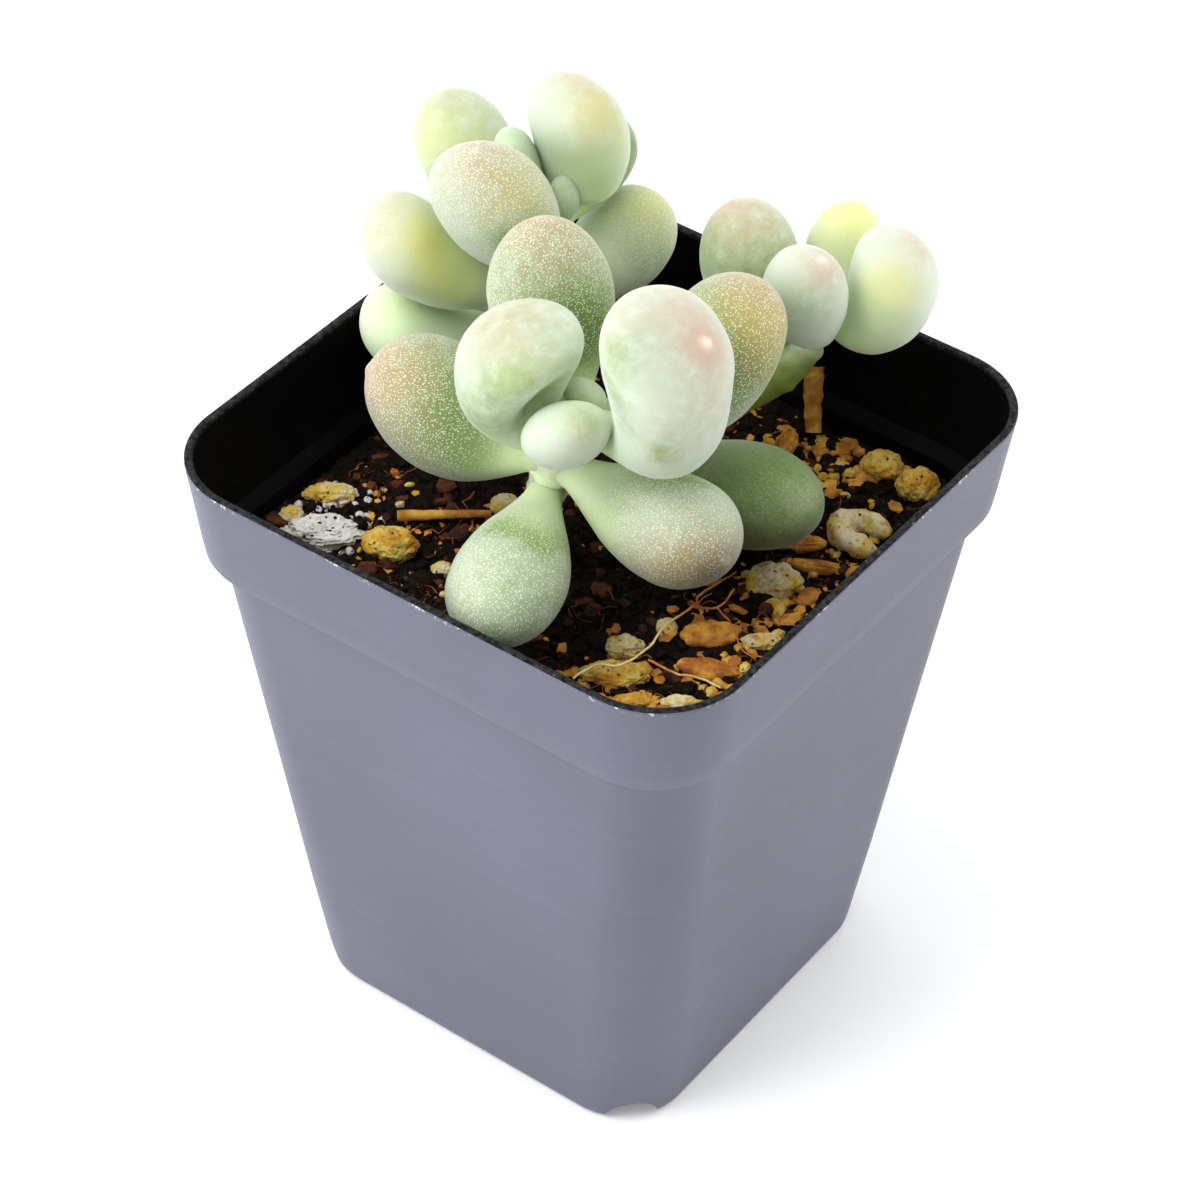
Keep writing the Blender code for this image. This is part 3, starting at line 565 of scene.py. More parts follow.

# %% [markdown]
# ## The back rosette
#
# The back rosette stands highest. Its leaves are yellower, and two of them on the left lie one over
# the other. The last two leaves face away from the camera and fill the far side.

# %% Back rosette
# Among the marks, the dark tint is painted shade and the bright green is painted light.
rosette("back", {
    "upper": (
        (87.5, 94, 34, 18, 11.5, 10, 0.62, 0, 0.09), dict(neck=0.45),
        dict(yellow=[(0.72, 40, 6, 0.3)], rub=[(0.75, 60, 6, 0.25)], blush=[(0.95, 95, 3.5, 0.25)],
             tan=[(0.75, 20, 4, 0.15)]), dict(dents=[(0.84, 80, 1.6, 0.3)], rub=0.12, dots=0.12)),
    "middle": (
        (88, -18, 89, 17.5, 12.8, 10, 0.62, 0, 0.11), dict(neck=0.74, lift=2.4),
        dict(blush=[(0.99, -10, 3, 0.4)], tan=[(0.93, -156, 3.4, 0.5), (0.8, -178, 3.4, 0.55)],
             yellow=[(0.9, -170, 3, 0.3)], fresh=[(0.45, 160, 5, 0.8)]), dict(rub=0.04, dots=0.12)),
    "left": (
        (84, 173, 59, 21.5, 14.5, 10.5, 0.66, 15, 0.05), dict(neck=0.45),
        dict(blush=[(0.99, 90, 4, 0.6)], tan=[(0.92, 0, 4.8, 0.6)], yellow=[(0.82, -14, 4, 0.3)],
             rub=[(0.7, -56, 1.8, 0.7)]), dict(rub=0.06, dots=1, tip=(0.99, 90, 0.25))),
    "far_left": (
        (81, 138, 26, 21, 12, 10, 0.74, -5, 0.11), dict(neck=0.45),
        dict(yellow=[(0.72, 54, 3.6, 0.9), (0.56, 30, 3.6, 0.9), (0.45, 20, 3, 0.6)], tan=[(0.88, 96, 4, 0.25)],
             blush=[(0.97, 30, 4, 0.25)], fresh=[(0.45, 72, 4, 0.7), (0.5, -10, 4, 0.4)]),
        dict(dents=[(0.6, 68, 3, 0.5)], rub=0.05, dots=0.25)),
    "low_left": (
        (75, 141, 6, 19.5, 12, 10, 0.7, -5, 0.17), {},
        dict(fresh=[(0.8, 60, 9, 0.8)]), dict(rub=0.1)),
    "right": (
        (81, -4, -6, 17, 11.5, 10.5, 0.63, -4, 0.14), dict(neck=0.45, away=(-0.5, -2.5)),
        dict(yellow=[(0.7, 112, 4, 0.6)], tan=[(0.66, 130, 3, 0.25), (0.9, 120, 4, 0.2)],
             rub=[(0.51, 170, 4, 0.35)], fresh=[(0.5, 90, 4, 0.3)]), dict(dots=0.7)),
    "upper_right": (
        (87.5, 8, 29, 14, 8.6, 7.5, 0.65, 0, 0.08), dict(away=(1.5, 5.5)),
        {}, dict(rub=0.75, painted_shade=0.45)),
    "hidden_low": (
        (72.5, 82, 0, 13, 10.5, 9, 0.65, 0, 0.1), {},
        dict(yellow=[(0.8, 70, 4, 0.4)]), dict(rub=0.3, dots=0.3)),
    "hidden_upper": (
        (80.5, 66, 10, 15, 9, 8, 0.65, 0, 0.1), {},
        dict(tan=[(0.9, 90, 4, 0.4)], blush=[(0.98, 60, 2.5, 0.4)]), dict(rub=0.15, dots=0.4)),
})

# %% [markdown]
# ## The right rosette
#
# The right stem leans over the rim, so its leaves are seen from their tips. One leaf at its foot lies
# in the shade of the front rosette; it has almost no powder, and painted shade darkens it.

# %% Right rosette
# Among the marks, the dark tint is painted shade and the bright green is painted light.
rosette("right", {
    "foot": (
        (67, -114, 15.5, 25, 14, 11.5, 0.56, -9, 0.06), {},
        dict(rub=[(0.7, 90, 9, 0.35)], tan=[(0.95, 60, 5, 0.15)]), dict(rub=0.65, painted_shade=0.55, dots=0.25)),
    "upper": (
        (78, 99, 61, 17.5, 12, 10.5, 0.6, 0, 0.05), dict(neck=0.45),
        dict(blush=[(0.99, 60, 4, 0.6)], tan=[(0.82, 76, 5, 0.35)], rub=[(0.85, -30, 3.5, 0.4),
             (0.6, 40, 4, 0.35)]), dict(rub=0.2, dots=0.15)),
    "small": (
        (80, 10, 57, 13.5, 8.5, 7, 0.6, 15, 0.1), dict(neck=0.45),
        dict(yellow=[(0.92, 86, 4, 0.55)]), dict(rub=0.05, yellow=0.22, dots=0.1)),
    "middle": (
        (81, 194, 64, 16, 9.5, 8, 0.66, -5, 0.1), dict(neck=0.45),
        dict(blush=[(0.97, 20, 2.6, 0.6)], tan=[(0.9, 35, 3, 0.3)], rub=[(0.8, -60, 3, 0.3)]),
        dict(dots=0.06, tip=(0.965, 26, 0.45))),
    "low": (
        (78, -69, 61, 18, 11.5, 10.5, 0.7, 0, 0.14), dict(neck=0.62, lift=3),
        dict(tan=[(0.88, -160, 2.6, 0.35), (0.97, -30, 3, 0.4)], yellow=[(0.86, 178, 3.2, 0.4),
             (0.69, 174, 3, 0.35)], blush=[(0.99, -52, 3, 0.4)], fresh=[(0.35, -165, 4.5, 0.8),
             (0.6, 160, 3, 0.4)]), dict(dots=0.08)),
    "hidden": (
        (74.5, 40, 8, 12, 9, 7.5, 0.65, 0, 0.1), {},
        dict(tan=[(0.9, 60, 3.5, 0.4)]), dict(rub=0.25, dots=0.3)),
})

# %% [markdown]
# ## The young leaves
#
# In the middle of a rosette the youngest leaves stand up round the stem's tip. They are small, so the
# same formula makes them with fewer points.

# %% Young leaves
YOUNG = {
    "young_front": ("front", (85.6, -10, 82, 3.6, 5.2, 4.2, 0.5), {}),
    "young_back_left": ("back", (88, 128, 64, 12.8, 8.8, 5.6, 0.6), {}),
    "young_back_right": ("back", (87.6, -72, 77, 6, 3.8, 3.5, 0.6), dict(away=(-3.5, -3.5))),
}
# Young leaves get painted shade near the stem and a little painted light all over.
for name, (stem, sizes, more) in YOUNG.items():
    make_leaf(name, dict(zip(SIZES, sizes), stem=stem, offset=0, neck=0.6, **more),
              dict(painted_shade=[(0.3, 0, 3.5, 0.7)]), rub=0.3, fresh=0.15, solids=False, sides=40, rings=32)

# %% [markdown]
# ## Stems
#
# A stem is a thick green tube with a low ring at each place where a leaf sits or once sat. The tube
# follows the same line as its solid. The young top is pale and almost white, and the old foot is
# olive, so each stem's points carry a number for its age, and the finish blends the two.

# %% Stem finish and stems
f = Finish("stem_skin", 0.45, 0.45, {
    "Subsurface Weight": 0.3, "Subsurface Radius": (0.8, 1.0, 0.5), "Subsurface Scale": 0.0025})
slow = f.cloud(260)
streak = f.cloud(900, 3.0, 0.6, stretch=(1.0, 1.0, 0.25))
skin = f.blend(f.painted("age"), (0.78, 0.88, 0.58), (0.24, 0.30, 0.055))
skin = f.coat(skin, (0.46, 0.58, 0.27), f.step(slow, 0.4, 0.7), 0.4)
skin = f.coat(skin, (0.42, 0.38, 0.14), f.step(streak, 0.55, 0.8), 0.4)
stem_skin = f.wear(skin, streak, 0.00008, 0.5)

SUNK = [50.0, 56.0]     # the heights of the rings inside the soil
STEM_FOOT = 62.8
RING_STEP = 0.25
AGEING = 3.0            # how far down the colour takes to turn from young to old
# Each stem: its radius by height, the heights of its leaves' rings, and where its young top begins.
STEMS = {
    "front": ([(62.0, 2.1), (74.0, 2.0), (77.0, 2.5), (79.0, 2.3), (82.0, 1.5), (88.0, 1.0)],
              (66, 70.5, 74, 77.0, 81.5, 85), 73.0),
    "back": ([(62.0, 2.2), (74.0, 2.0), (84.0, 1.5), (89.5, 0.9)], (66, 71, 75, 81, 84, 87.5), 82.0),
    "right": ([(62.0, 2.0), (71.0, 2.0), (75.0, 2.4), (78.0, 1.9), (81.6, 0.9)],
              (65.5, 67, 71, 74.5, 78, 80.5), 79.5),
}
for stem, (radii, nodes, young) in STEMS.items():
    tops, widths = zip(*radii)
    heights = SUNK + list(np.arange(STEM_FOOT, tops[-1] - 0.3, RING_STEP)) + [tops[-1]]
    points, sizes = [], []
    for z in heights:
        at = stem_point(stem, max(z, STEM_FOOT))
        ring = sum(0.2 * soft(z - node, 0.4) - 0.08 * soft(z - node - 0.6, 0.3) for node in nodes)
        points.append((at.x, at.y, z))
        sizes.append(float(np.interp(z, tops, widths)) + (ring if z > STEM_FOOT else 0.0))
    mesh = roughen(tubes([(points, sizes)], 10), 0.12, 350, len(stem))
    paint_age(mesh, lambda x, y, z: (young - z) / AGEING)
    show(f"skin_stem_{stem}", mesh, [stem_skin], [f"stem_{stem}"])

# %% [markdown]
# ## Soil
#
# Potting soil is dark peat with red-brown fibres. Its surface is a fine grid whose points are lifted
# by four sizes of noise: clods, lumps, crumbs and grains. Loose crumbs and fibres lie on top, because
# a lifted grid alone always looks like a blanket.

# %% Soil finish
f = Finish("soil", 0.95, 0.15)
slow = f.cloud(300, 4.0)
fine = f.cloud(1800, 4.0, 0.7)
ground = f.blend(f.step(fine, 0.35, 0.75), (0.003, 0.002, 0.0015), (0.022, 0.012, 0.007))
red = f.times(f.step(slow, 0.55, 0.68), f.step(fine, 0.5, 0.62))
ground = f.coat(ground, (0.20, 0.045, 0.015), red, 0.7)
soil_dark = f.wear(ground, fine, 0.0003, 0.8)

# %% Soil surface
SOIL_TOP = 61.5
SOIL_FOOT = 1.8
SOIL_CELLS = 230
WALL = 1.0
SEAM = 0.05                                  # the gap between the soil and the wall
BODY_TOP = 63.6                              # where the pot's body ends and its band begins
BODY_HALF, BODY_CORNER = (24.3, 32.0), (8.2, 9.0)   # at the foot and at the body's top


def in_pot(x, y, z):
    """Where a point of a square of half-width 1 lies in the space inside the pot, at a height."""
    reach = max(abs(x), abs(y))
    if reach < 1e-6:
        return 0.0, 0.0
    half, corner = (a + (b - a) * z / BODY_TOP - WALL - SEAM for a, b in (BODY_HALF, BODY_CORNER))
    x, y = x / reach * half, y / reach * half
    over_x, over_y = abs(x) - (half - corner), abs(y) - (half - corner)
    if over_x > 0 and over_y > 0:
        pull = corner / hypot(over_x, over_y)
        x = copysign(half - corner + over_x * pull, x)
        y = copysign(half - corner + over_y * pull, y)
    return x * reach, y * reach


def soil_height(x, y):
    at = Vector((x, y, 0.0))
    clods = noise.noise(at * 0.17 + Vector((3.0, 8.0, 1.0)))
    lumps = noise.noise(at * 0.55 + Vector((1.0, 2.0, 7.0)))
    crumbs = noise.noise(at * 1.7 + Vector((9.0, 4.0, 2.0)))
    return SOIL_TOP + 0.1 + 0.9 * clods + 0.7 * lumps + 0.45 * crumbs + 0.25 * noise.noise(at * 4.1)


bm = bmesh.new()
bmesh.ops.create_grid(bm, x_segments=SOIL_CELLS, y_segments=SOIL_CELLS, size=1.0)
rim = [edge for edge in bm.edges if edge.is_boundary]
down = bmesh.ops.extrude_edge_only(bm, edges=rim)["geom"]
low = {item for item in down if isinstance(item, bmesh.types.BMVert)}
for vert in bm.verts:
    x, y = in_pot(vert.co.x, vert.co.y, SOIL_FOOT if vert in low else SOIL_TOP)
    vert.co = (x, y, SOIL_FOOT if vert in low else soil_height(x, y))
bmesh.ops.holes_fill(bm, edges=[edge for edge in bm.edges if edge.is_boundary])
show("skin_soil", to_mesh(bm), [soil_dark], ["soil"])

# %% [markdown]
# ## Crumbs, fibres and grit
#
# The loose bits are scattered by a seeded random generator, so each run gives the same soil. Each
# kind is one mesh of many small bodies with few faces.

# %% Finishes of the bits


def wood_finish(name, dark, light, roughness=0.75):
    f = Finish(name, roughness, 0.3)
    slow = f.cloud(420, 4.0, 0.6)
    lines = f.cloud(1500, 4.0, 0.7, stretch=(1.0, 0.35, 1.0))
    wood = f.blend(f.step(slow, 0.35, 0.68), dark, light)
    wood = f.coat(wood, (0.09, 0.035, 0.012), f.step(lines, 0.58, 0.75), 0.6)
    return f.wear(wood, lines, 0.0002, 0.8)


def stone_finish(name, pale, stain, rust, pits=0.5):
    """Porous stone: pale, with stains that gather in patches, and pits darkened by painted shade."""
    f = Finish(name, 0.85, 0.25)
    slow = f.cloud(330, 4.0, 0.6)
    fine = f.cloud(2400, 4.0, 0.7)
    stone = f.blend(f.step(slow, 0.42, 0.62), pale, stain)
    stone = f.coat(stone, rust, f.step(f.cloud(700), 0.56, 0.7), 0.85)
    stone = f.coat(stone, (0.30, 0.17, 0.05), f.step(fine, 0.55, 0.35), 0.25)
    # Painted shade in the pits; the same mask sinks them a little.
    shaded_pits = f.times(f.step(f.cells(1100), 0.26, 0.12), f.step(f.cloud(500, 2.0), 0.45, 0.6))
    stone = f.blend(f.calc("MULTIPLY", shaded_pits, pits * 1.8, clamp=True), stone, (0.025, 0.018, 0.012))
    return f.wear(stone, f.calc("SUBTRACT", fine, shaded_pits), 0.00035, 0.9)


bark = wood_finish("bark", (0.42, 0.135, 0.022), (0.90, 0.45, 0.060))
pumice = stone_finish("pumice", (0.95, 0.86, 0.52), (0.92, 0.64, 0.10), (0.70, 0.26, 0.03))
ochre = stone_finish("ochre_pumice", (0.95, 0.72, 0.16), (0.80, 0.40, 0.035), (0.52, 0.17, 0.02))
perlite = stone_finish("perlite", (0.92, 0.91, 0.88), (0.82, 0.80, 0.75), (0.55, 0.52, 0.48), pits=0.9)
peat = wood_finish("peat", (0.012, 0.005, 0.003), (0.15, 0.036, 0.010), 0.85)
ember = wood_finish("peat_fibre_bits", (0.50, 0.13, 0.02), (0.95, 0.40, 0.06), 0.7)

# %% Bits on the soil
rng = np.random.default_rng(11)
FULL_TURN = 6.28
SOIL_STRAIGHT = 22.0    # half the straight part of the soil's edge
SOIL_ROUND = 7.6        # the radius of its corners
BIT_WOBBLE = 0.13


def scattered(count, spots=None):
    """Random places on the soil: all over, or round a few spots given as x, y and reach."""
    places = []
    while len(places) < count:
        if spots:
            x, y, reach = spots[rng.integers(len(spots))]
            x, y = x + rng.normal() * reach, y + rng.normal() * reach
        else:
            x, y = rng.uniform(-30, 30, 2)
        over = np.maximum(np.abs((x, y)) - SOIL_STRAIGHT, 0.0)
        if np.hypot(*over) < SOIL_ROUND:
            places.append((x, y))
    return places


def bits(name, places, sizes, finish, flat=0.7, balls=1, lift=0.1):
    bm = bmesh.new()
    for x, y in places:
        size = rng.uniform(*sizes)
        shape = Matrix.Diagonal((*(size * rng.uniform(0.6, 1.3, 2)), size * flat, 1.0))
        turned = Matrix.Rotation(rng.uniform(0, FULL_TURN), 4, "Z") @ Matrix.Rotation(rng.uniform(-0.5, 0.5), 4, "X")
        at = Matrix.Translation((x, y, soil_height(x, y) + size * lift))
        bmesh.ops.create_icosphere(bm, subdivisions=balls, radius=0.5, matrix=at @ turned @ shape)
    for vert in bm.verts:
        vert.co += BIT_WOBBLE * noise.noise_vector(vert.co * 1.9)
    show(name, to_mesh(bm, turn_out=False), [finish], sharp=25)


EMBERS = [(-14, 14, 7.0), (-20, 2, 7.0), (24, -4, 5.0)]
NEAR_CORNER = [(-17, -21, 4.0), (-8, -23, 4.5), (-2, -22, 4.0), (5, -22, 4.0), (12, -24, 3.5), (-20, -13, 3.5)]
FAR_RIGHT = [(24, -8, 3.5), (22, -16, 4.0), (26, -14, 3.0), (18, -10, 3.0)]
FAR_LEFT = [(-14, 24, 5.0), (-22, 16, 5.0), (-10, 18, 5.0), (-20, 5, 6.0)]
BY_PERLITE = [(-19.8, 23.5, 3.0), (-15, 24, 2.5)]
bits("soil_crumbs", scattered(2400), (0.5, 1.5), soil_dark)
bits("peat_lumps", scattered(300), (0.7, 2.4), peat, flat=0.5)
bits("peat_flecks", scattered(150) + scattered(130, EMBERS), (0.3, 0.9), ember, flat=0.4)
bits("soil_clods", scattered(170), (1.6, 3.0), soil_dark, balls=2, lift=0.0)
bits("bark_bits", scattered(330, NEAR_CORNER + FAR_RIGHT), (0.6, 2.6), bark, flat=0.3)
bits("bark_bits_left", scattered(70, FAR_LEFT), (0.5, 1.5), bark, flat=0.4)
bits("grit", scattered(110, NEAR_CORNER + FAR_RIGHT), (0.6, 2.0), ochre, balls=2)
bits("grit_left", scattered(26, FAR_LEFT), (0.5, 1.3), pumice, balls=2)
bits("perlite_bits", scattered(46, BY_PERLITE), (0.5, 1.5), perlite, balls=2)

# %% Fibres
FIBRE_EDGE = 28.5
lines = []
for x, y in scattered(110) + scattered(50, FAR_LEFT + NEAR_CORNER):
    heading = rng.uniform(0, FULL_TURN)
    length = rng.uniform(1.5, 5.0)
    points = []
    for t in np.linspace(0, 1, 6):
        px, py = x + cos(heading) * length * t, y + sin(heading) * length * t
        if max(abs(px), abs(py)) > FIBRE_EDGE:
            break
        points.append((px, py, soil_height(px, py) + 0.25 + 0.5 * sin(pi * t) * rng.uniform(0, 1)))
        heading += rng.normal() * 0.35
    if len(points) > 2:
        lines.append((points, np.linspace(1.0, 0.6, len(points)) * rng.uniform(0.05, 0.13)))
fibre = wood_finish("fibre", (0.12, 0.030, 0.010), (0.38, 0.12, 0.03))
show("soil_fibres", tubes(lines, 0), [fibre])

# %% [markdown]
# ## Granules, pebble and perlite
#
# A pumice granule starts as a ball, too. Two sizes of noise make it knobbly and one more makes pores.
# Each granule lies where its solid lies, and is sunk a little into the soil as in the pot. They share
# one turn, which lays them square to the view.

# %% Granules
TURN = -54


def from_ball(name, finish, at, size, lift, turn, tilt, mould):
    """Mould the points of a fine ball, and lay it on the soil."""
    place = Matrix.Translation((*at, SOIL_TOP + size[2] * 0.375 + lift))
    place = place @ Matrix.Rotation(radians(turn), 4, "Z") @ Matrix.Rotation(tilt, 4, "Y")
    bm = bmesh.new()
    bmesh.ops.create_icosphere(bm, subdivisions=5, radius=1.0)
    for vert in bm.verts:
        vert.co = place @ mould(vert.co.normalized())
    show(f"skin_{name}", to_mesh(bm), [finish], [name])


def granule(name, finish, slot, at, size, seed, rough=0.2, pores=0.22):
    shift = Vector((3.1, 1.7, 0.9)) * seed

    def mould(way):
        bulge = 1.0 + rough * noise.noise(way * 1.7 + shift) + 0.10 * noise.noise(way * 4.5 + shift)
        bulge -= pores * max(0.0, noise.noise(way * 9.0 + shift) - 0.1)
        return Vector((way.x * size[0] / 2, way.y * size[1] / 2, way.z * size[2] / 1.6)) * bulge

    from_ball(name, finish, at, size, -0.05, TURN, 0.0, mould)


# Each stone: its name, finish, slot, place in x and y, size, and what else differs.
STONES = (
    ("perlite_lump", perlite, "perlite", (-19.8, 23.5), (9.3, 4.6, 2.8), dict(rough=0.4, pores=0.5)),
    ("granule_left_ochre", ochre, "pumice", (-17.0, 16.2), (6.0, 4.6, 3.4), {}),
    ("granule_left_pale", pumice, "pumice", (-13.7, 27.4), (6.0, 2.6, 1.8), {}),
    ("granule_left_dim", pumice, "pumice", (-19.2, 28.3), (2.8, 2.4, 1.8), {}),
    ("pebble_pale", pumice, "perlite", (-3.5, 10.8), (3.3, 2.8, 2.1), dict(rough=0.05, pores=0.05)),
    ("granule_speck", pumice, "perlite", (-15.9, 9.8), (2.4, 1.9, 1.4), {}),
    ("granule_near_long", ochre, "pumice", (-18.2, -15.1), (7.2, 3.6, 2.2), {}),
    ("granule_near_pale", pumice, "pumice", (-14.1, -13.3), (4.0, 2.8, 2.0), {}),
    ("granule_near_yellow", ochre, "pumice", (-20.4, -18.9), (4.3, 2.2, 1.5), {}),
    ("granule_near_stained", pumice, "pumice", (-17.6, -23.1), (4.6, 2.2, 1.5), {}),
    ("granule_near_small", pumice, "pumice", (-9.1, -15.2), (2.4, 2.6, 1.9), {}),
    ("granule_front_flat", pumice, "pumice", (-4.2, -24.3), (4.8, 2.1, 1.3), {}),
    ("granule_front_pitted", pumice, "pumice", (3.5, -20.3), (6.2, 4.6, 3.6), dict(pores=0.35)),
    ("granule_right_upper", ochre, "pumice", (27.3, -18.6), (4.8, 4.2, 3.0), {}),
    ("granule_right_lower", ochre, "pumice", (27.0, -23.6), (4.8, 4.2, 3.1), {}),
)
for seed, (name, finish, slot, at, size, more) in enumerate(STONES, start=1):
    granule(name, finish, slot, at, size, seed, **more)

# The hollow granule is a short fat tube bent into the letter C.
BEND = 24
bend = []
for t in np.linspace(0.0, 1.0, BEND):
    angle = radians(-50 + 285 * t)
    bend.append((15.8 + 2.1 * cos(angle), -23.8 + 2.9 * sin(angle), SOIL_TOP + 1.5))
fat = [1.35 * sqrt(max(0.05, 1 - (2 * t - 1) ** 6)) for t in np.linspace(0, 1, BEND)]
mesh = roughen(tubes([(bend, fat)], 10), 0.5, 600, 3)
show("skin_granule_hollow", mesh, [pumice], ["granule_hollow"])

# %% [markdown]
# ## Bark flakes, stick, stalk and roots
#
# Flakes are flat balls with pointed ends and torn edges. The stick, the stalk and the roots are tubes
# again. Their lines wander a little, because a living thing never draws a clean arc.

# %% Flakes
TILT = 0.08


def flake(name, at, size, turn, seed):
    shift = Vector((2.3, 4.1, 1.9)) * seed

    def mould(way):
        torn = 1.0 + 0.18 * noise.noise(Vector((way.x * 2, way.y * 2, 0)) + shift)
        shape = Vector([copysign(abs(c) ** 0.8, c) for c in way])
        shape.y *= 1.0 - 0.35 * abs(shape.x) ** 1.5
        grain = 0.40 * noise.noise(Vector((way.x * 1.5, way.y * 14, way.z)) + shift)
        bowed = 0.036 * size[0] * shape.x ** 2
        return Vector((shape.x * size[0] / 2 * torn, shape.y * size[1] / 2 * torn,
                       shape.z * size[2] / 1.8 * (1 + grain) + bowed))

    from_ball(name, bark, at, size, 0.35, turn, TILT, mould)


FLAKES = (
    ("bark_flake_brown", (-7.1, -19.4), (6.6, 3.8, 1.4), -40),
    ("bark_flake_ochre", (-11.7, -22.3), (6.6, 2.8, 1.2), -60),
    ("bark_flake_small", (-12.2, -26.9), (2.9, 1.8, 0.9), -54),
    ("bark_chip_front", (11.0, -18.5), (6.2, 2.6, 1.2), -50),
    ("bark_chip_front_low", (9.0, -22.2), (6.0, 1.9, 1.1), -58),
    ("bark_chip_right", (24.3, -7.8), (5.0, 2.6, 1.4), 20),
)
for seed, (name, at, size, turn) in enumerate(FLAKES, start=17):
    flake(name, at, size, turn, seed)

# %% Roots, stick and stalk
f = Finish("dry_root", 0.6, 0.3)
patches = f.step(f.cloud(500), 0.35, 0.65)
pale_root = f.blend(patches, (0.88, 0.68, 0.26), (0.93, 0.82, 0.46))
red_root = f.blend(patches, (0.50, 0.14, 0.03), (0.80, 0.34, 0.07))
root_skin = f.wear(f.blend(f.painted("age"), pale_root, red_root), f.cloud(2600), 0.0001, 0.6)
straw = wood_finish("straw", (0.46, 0.17, 0.025), (0.84, 0.46, 0.08), 0.6)


def wander(points, radius, tip, seed, wobble=0.12, knots=0.22):
    """A line through the points that wobbles and swells, and its radii; tip is the end's share."""
    line = smooth_line(points, 14)
    shift = Vector((seed * 1.3, seed * 2.1, 0.4))
    wandered, radii = [], []
    for i, point in enumerate(line):
        at = Vector(point)
        at += wobble * noise.noise_vector(at * 0.9 + shift)
        wandered.append(tuple(at))
        swell = 1.0 + knots * noise.noise(at * 1.6 + shift)
        radii.append(radius * (1.0 + (tip - 1.0) * i / (len(line) - 1)) * swell)
    return wandered, radii


ROOT_MAIN = [(-23.5, -13.4, 64.6), (-20.6, -14.2, 64.8), (-19.1, -16.4, 65), (-15.2, -17.1, 65), (-11.5, -16.5, 65),
             (-6.7, -16.9, 64.8), (-4.9, -16.3, 64.6), (-1.1, -16.6, 64.3), (1.2, -16.9, 64)]
ROOT_FORK = [(-6.9, -16.9, 64.8), (-6.3, -17.8, 64.7), (-5.0, -19.0, 64.6), (-1.5, -18.5, 64.3)]
ROOT_LOW_FORK = [(-5.3, -18.8, 64.6), (-5.5, -19.5, 64.6), (-6.5, -21.9, 64.3), (-8.2, -24.2, 63.8),
                 (-8.3, -26.1, 63.2)]
ROOT_TWIG = [(-6.9, -17.2, 64.8), (-5.4, -17.2, 65.1), (-4.4, -17.6, 65.3)]
SECOND_ROOT = [(-15.8, -17.6, 64.0), (-15.8, -21.0, 64.0), (-14.3, -23.3, 63.5), (-13.8, -25.4, 62.9)]
STICK = [(-12.6, 18.7, 62.7), (-9.3, 14.7, 62.8), (-5.9, 10.9, 62.6)]
STALK = [(27.3, -9.3, 62.8), (28.9, -8.0, 65.8), (30.6, -6.7, 68.8)]

roots = tubes([wander(ROOT_MAIN, 0.14, 0.9, 1), wander(ROOT_FORK, 0.13, 0.8, 2),
               wander(ROOT_LOW_FORK, 0.10, 0.6, 3), wander(ROOT_TWIG, 0.08, 0.6, 4, 0.05)], 3)
paint_age(roots, lambda x, y, z: max((x + 13.0) / 6.0, (-19.2 - y) / 1.5))
show("skin_dry_roots", roots, [root_skin], ["dry_roots"])
short_root = paint_age(tubes([wander(SECOND_ROOT, 0.14, 0.7, 5)], 3), lambda x, y, z: (y + 23.0) / 3.0)
show("skin_dry_root_short", short_root, [root_skin], ["dry_root_short"])
stick = tubes([wander(STICK, 0.66, 0.6, 6, 0.08, 0.1)], 4)
show("skin_stick", stick, [straw], ["stick"])
stalk = tubes([wander(STALK, 0.9, 1.3, 7, 0.1, 0.15)], 5)
show("skin_dry_stalk", stalk, [straw], ["dry_stalk"])

# %% [markdown]
# ## Pot finish
#
# The plastic is black, and the outside is scuffed. The bright room turns the outside to a soft
# blue-grey, and this is painted reflection in its colour. So the pot has two finishes: a lighter one
# outside, with the painted reflection, fine lines round it and pale nicks along the edges, and a
# clean, nearly black one inside, darker as painted shade.

# %% Pot finish
f = Finish("pot_outside", 0.42, 0.4)
fine = f.cloud(2500, 4.0, 0.7)
lines = f.cloud(900, 3.0, 0.6, stretch=(0.05, 0.05, 2.2))
tall = f.add("SeparateXYZ", "Z", {"Vector": f.coords})
# Painted reflection: the black plastic is given the blue-grey of the bright room it mirrors.
tone = f.blend(f.step(f.cloud(28), 0.3, 0.7), (0.107, 0.106, 0.150), (0.124, 0.123, 0.174))
tone = f.coat(tone, (0.25, 0.255, 0.31), f.step(lines, 0.45, 0.75), 0.07)
tone = f.coat(tone, (0.11, 0.11, 0.14), f.step(fine, 0.5, 0.8), 0.15)
near_rim = f.step(tall, 0.0757, 0.0764)
near_step = f.times(f.step(tall, 0.0632, 0.0636), f.step(tall, 0.0645, 0.0641))
nicks = f.step(f.cloud(1300, 4.0, 0.75), 0.55, 0.63)
patchy = f.step(f.cloud(120, 2.0), 0.42, 0.56)
edge = f.calc("ADD", near_rim, f.times(near_step, 0.35), clamp=True)
# Painted shade: a darker line on the step under the band.
tone = f.coat(tone, (0.09, 0.09, 0.12), near_step, 0.3)
tone = f.coat(tone, (0.78, 0.80, 0.84), f.times(f.times(edge, nicks), patchy), 0.85)
f.fill(f.shader, {"Roughness": f.calc("MULTIPLY_ADD", fine, 0.25, 0.32)})
outside_painted_reflection = f.wear(tone, f.calc("ADD", fine, lines), 0.00002, 0.5)

f = Finish("pot_inside", 0.5, 0.06)
fine = f.cloud(1800, 4.0, 0.7)
dust = f.step(f.cloud(220, 4.0), 0.52, 0.75)
tall = f.add("SeparateXYZ", "Z", {"Vector": f.coords})
on_rim = f.step(tall, 0.0758, 0.0763)
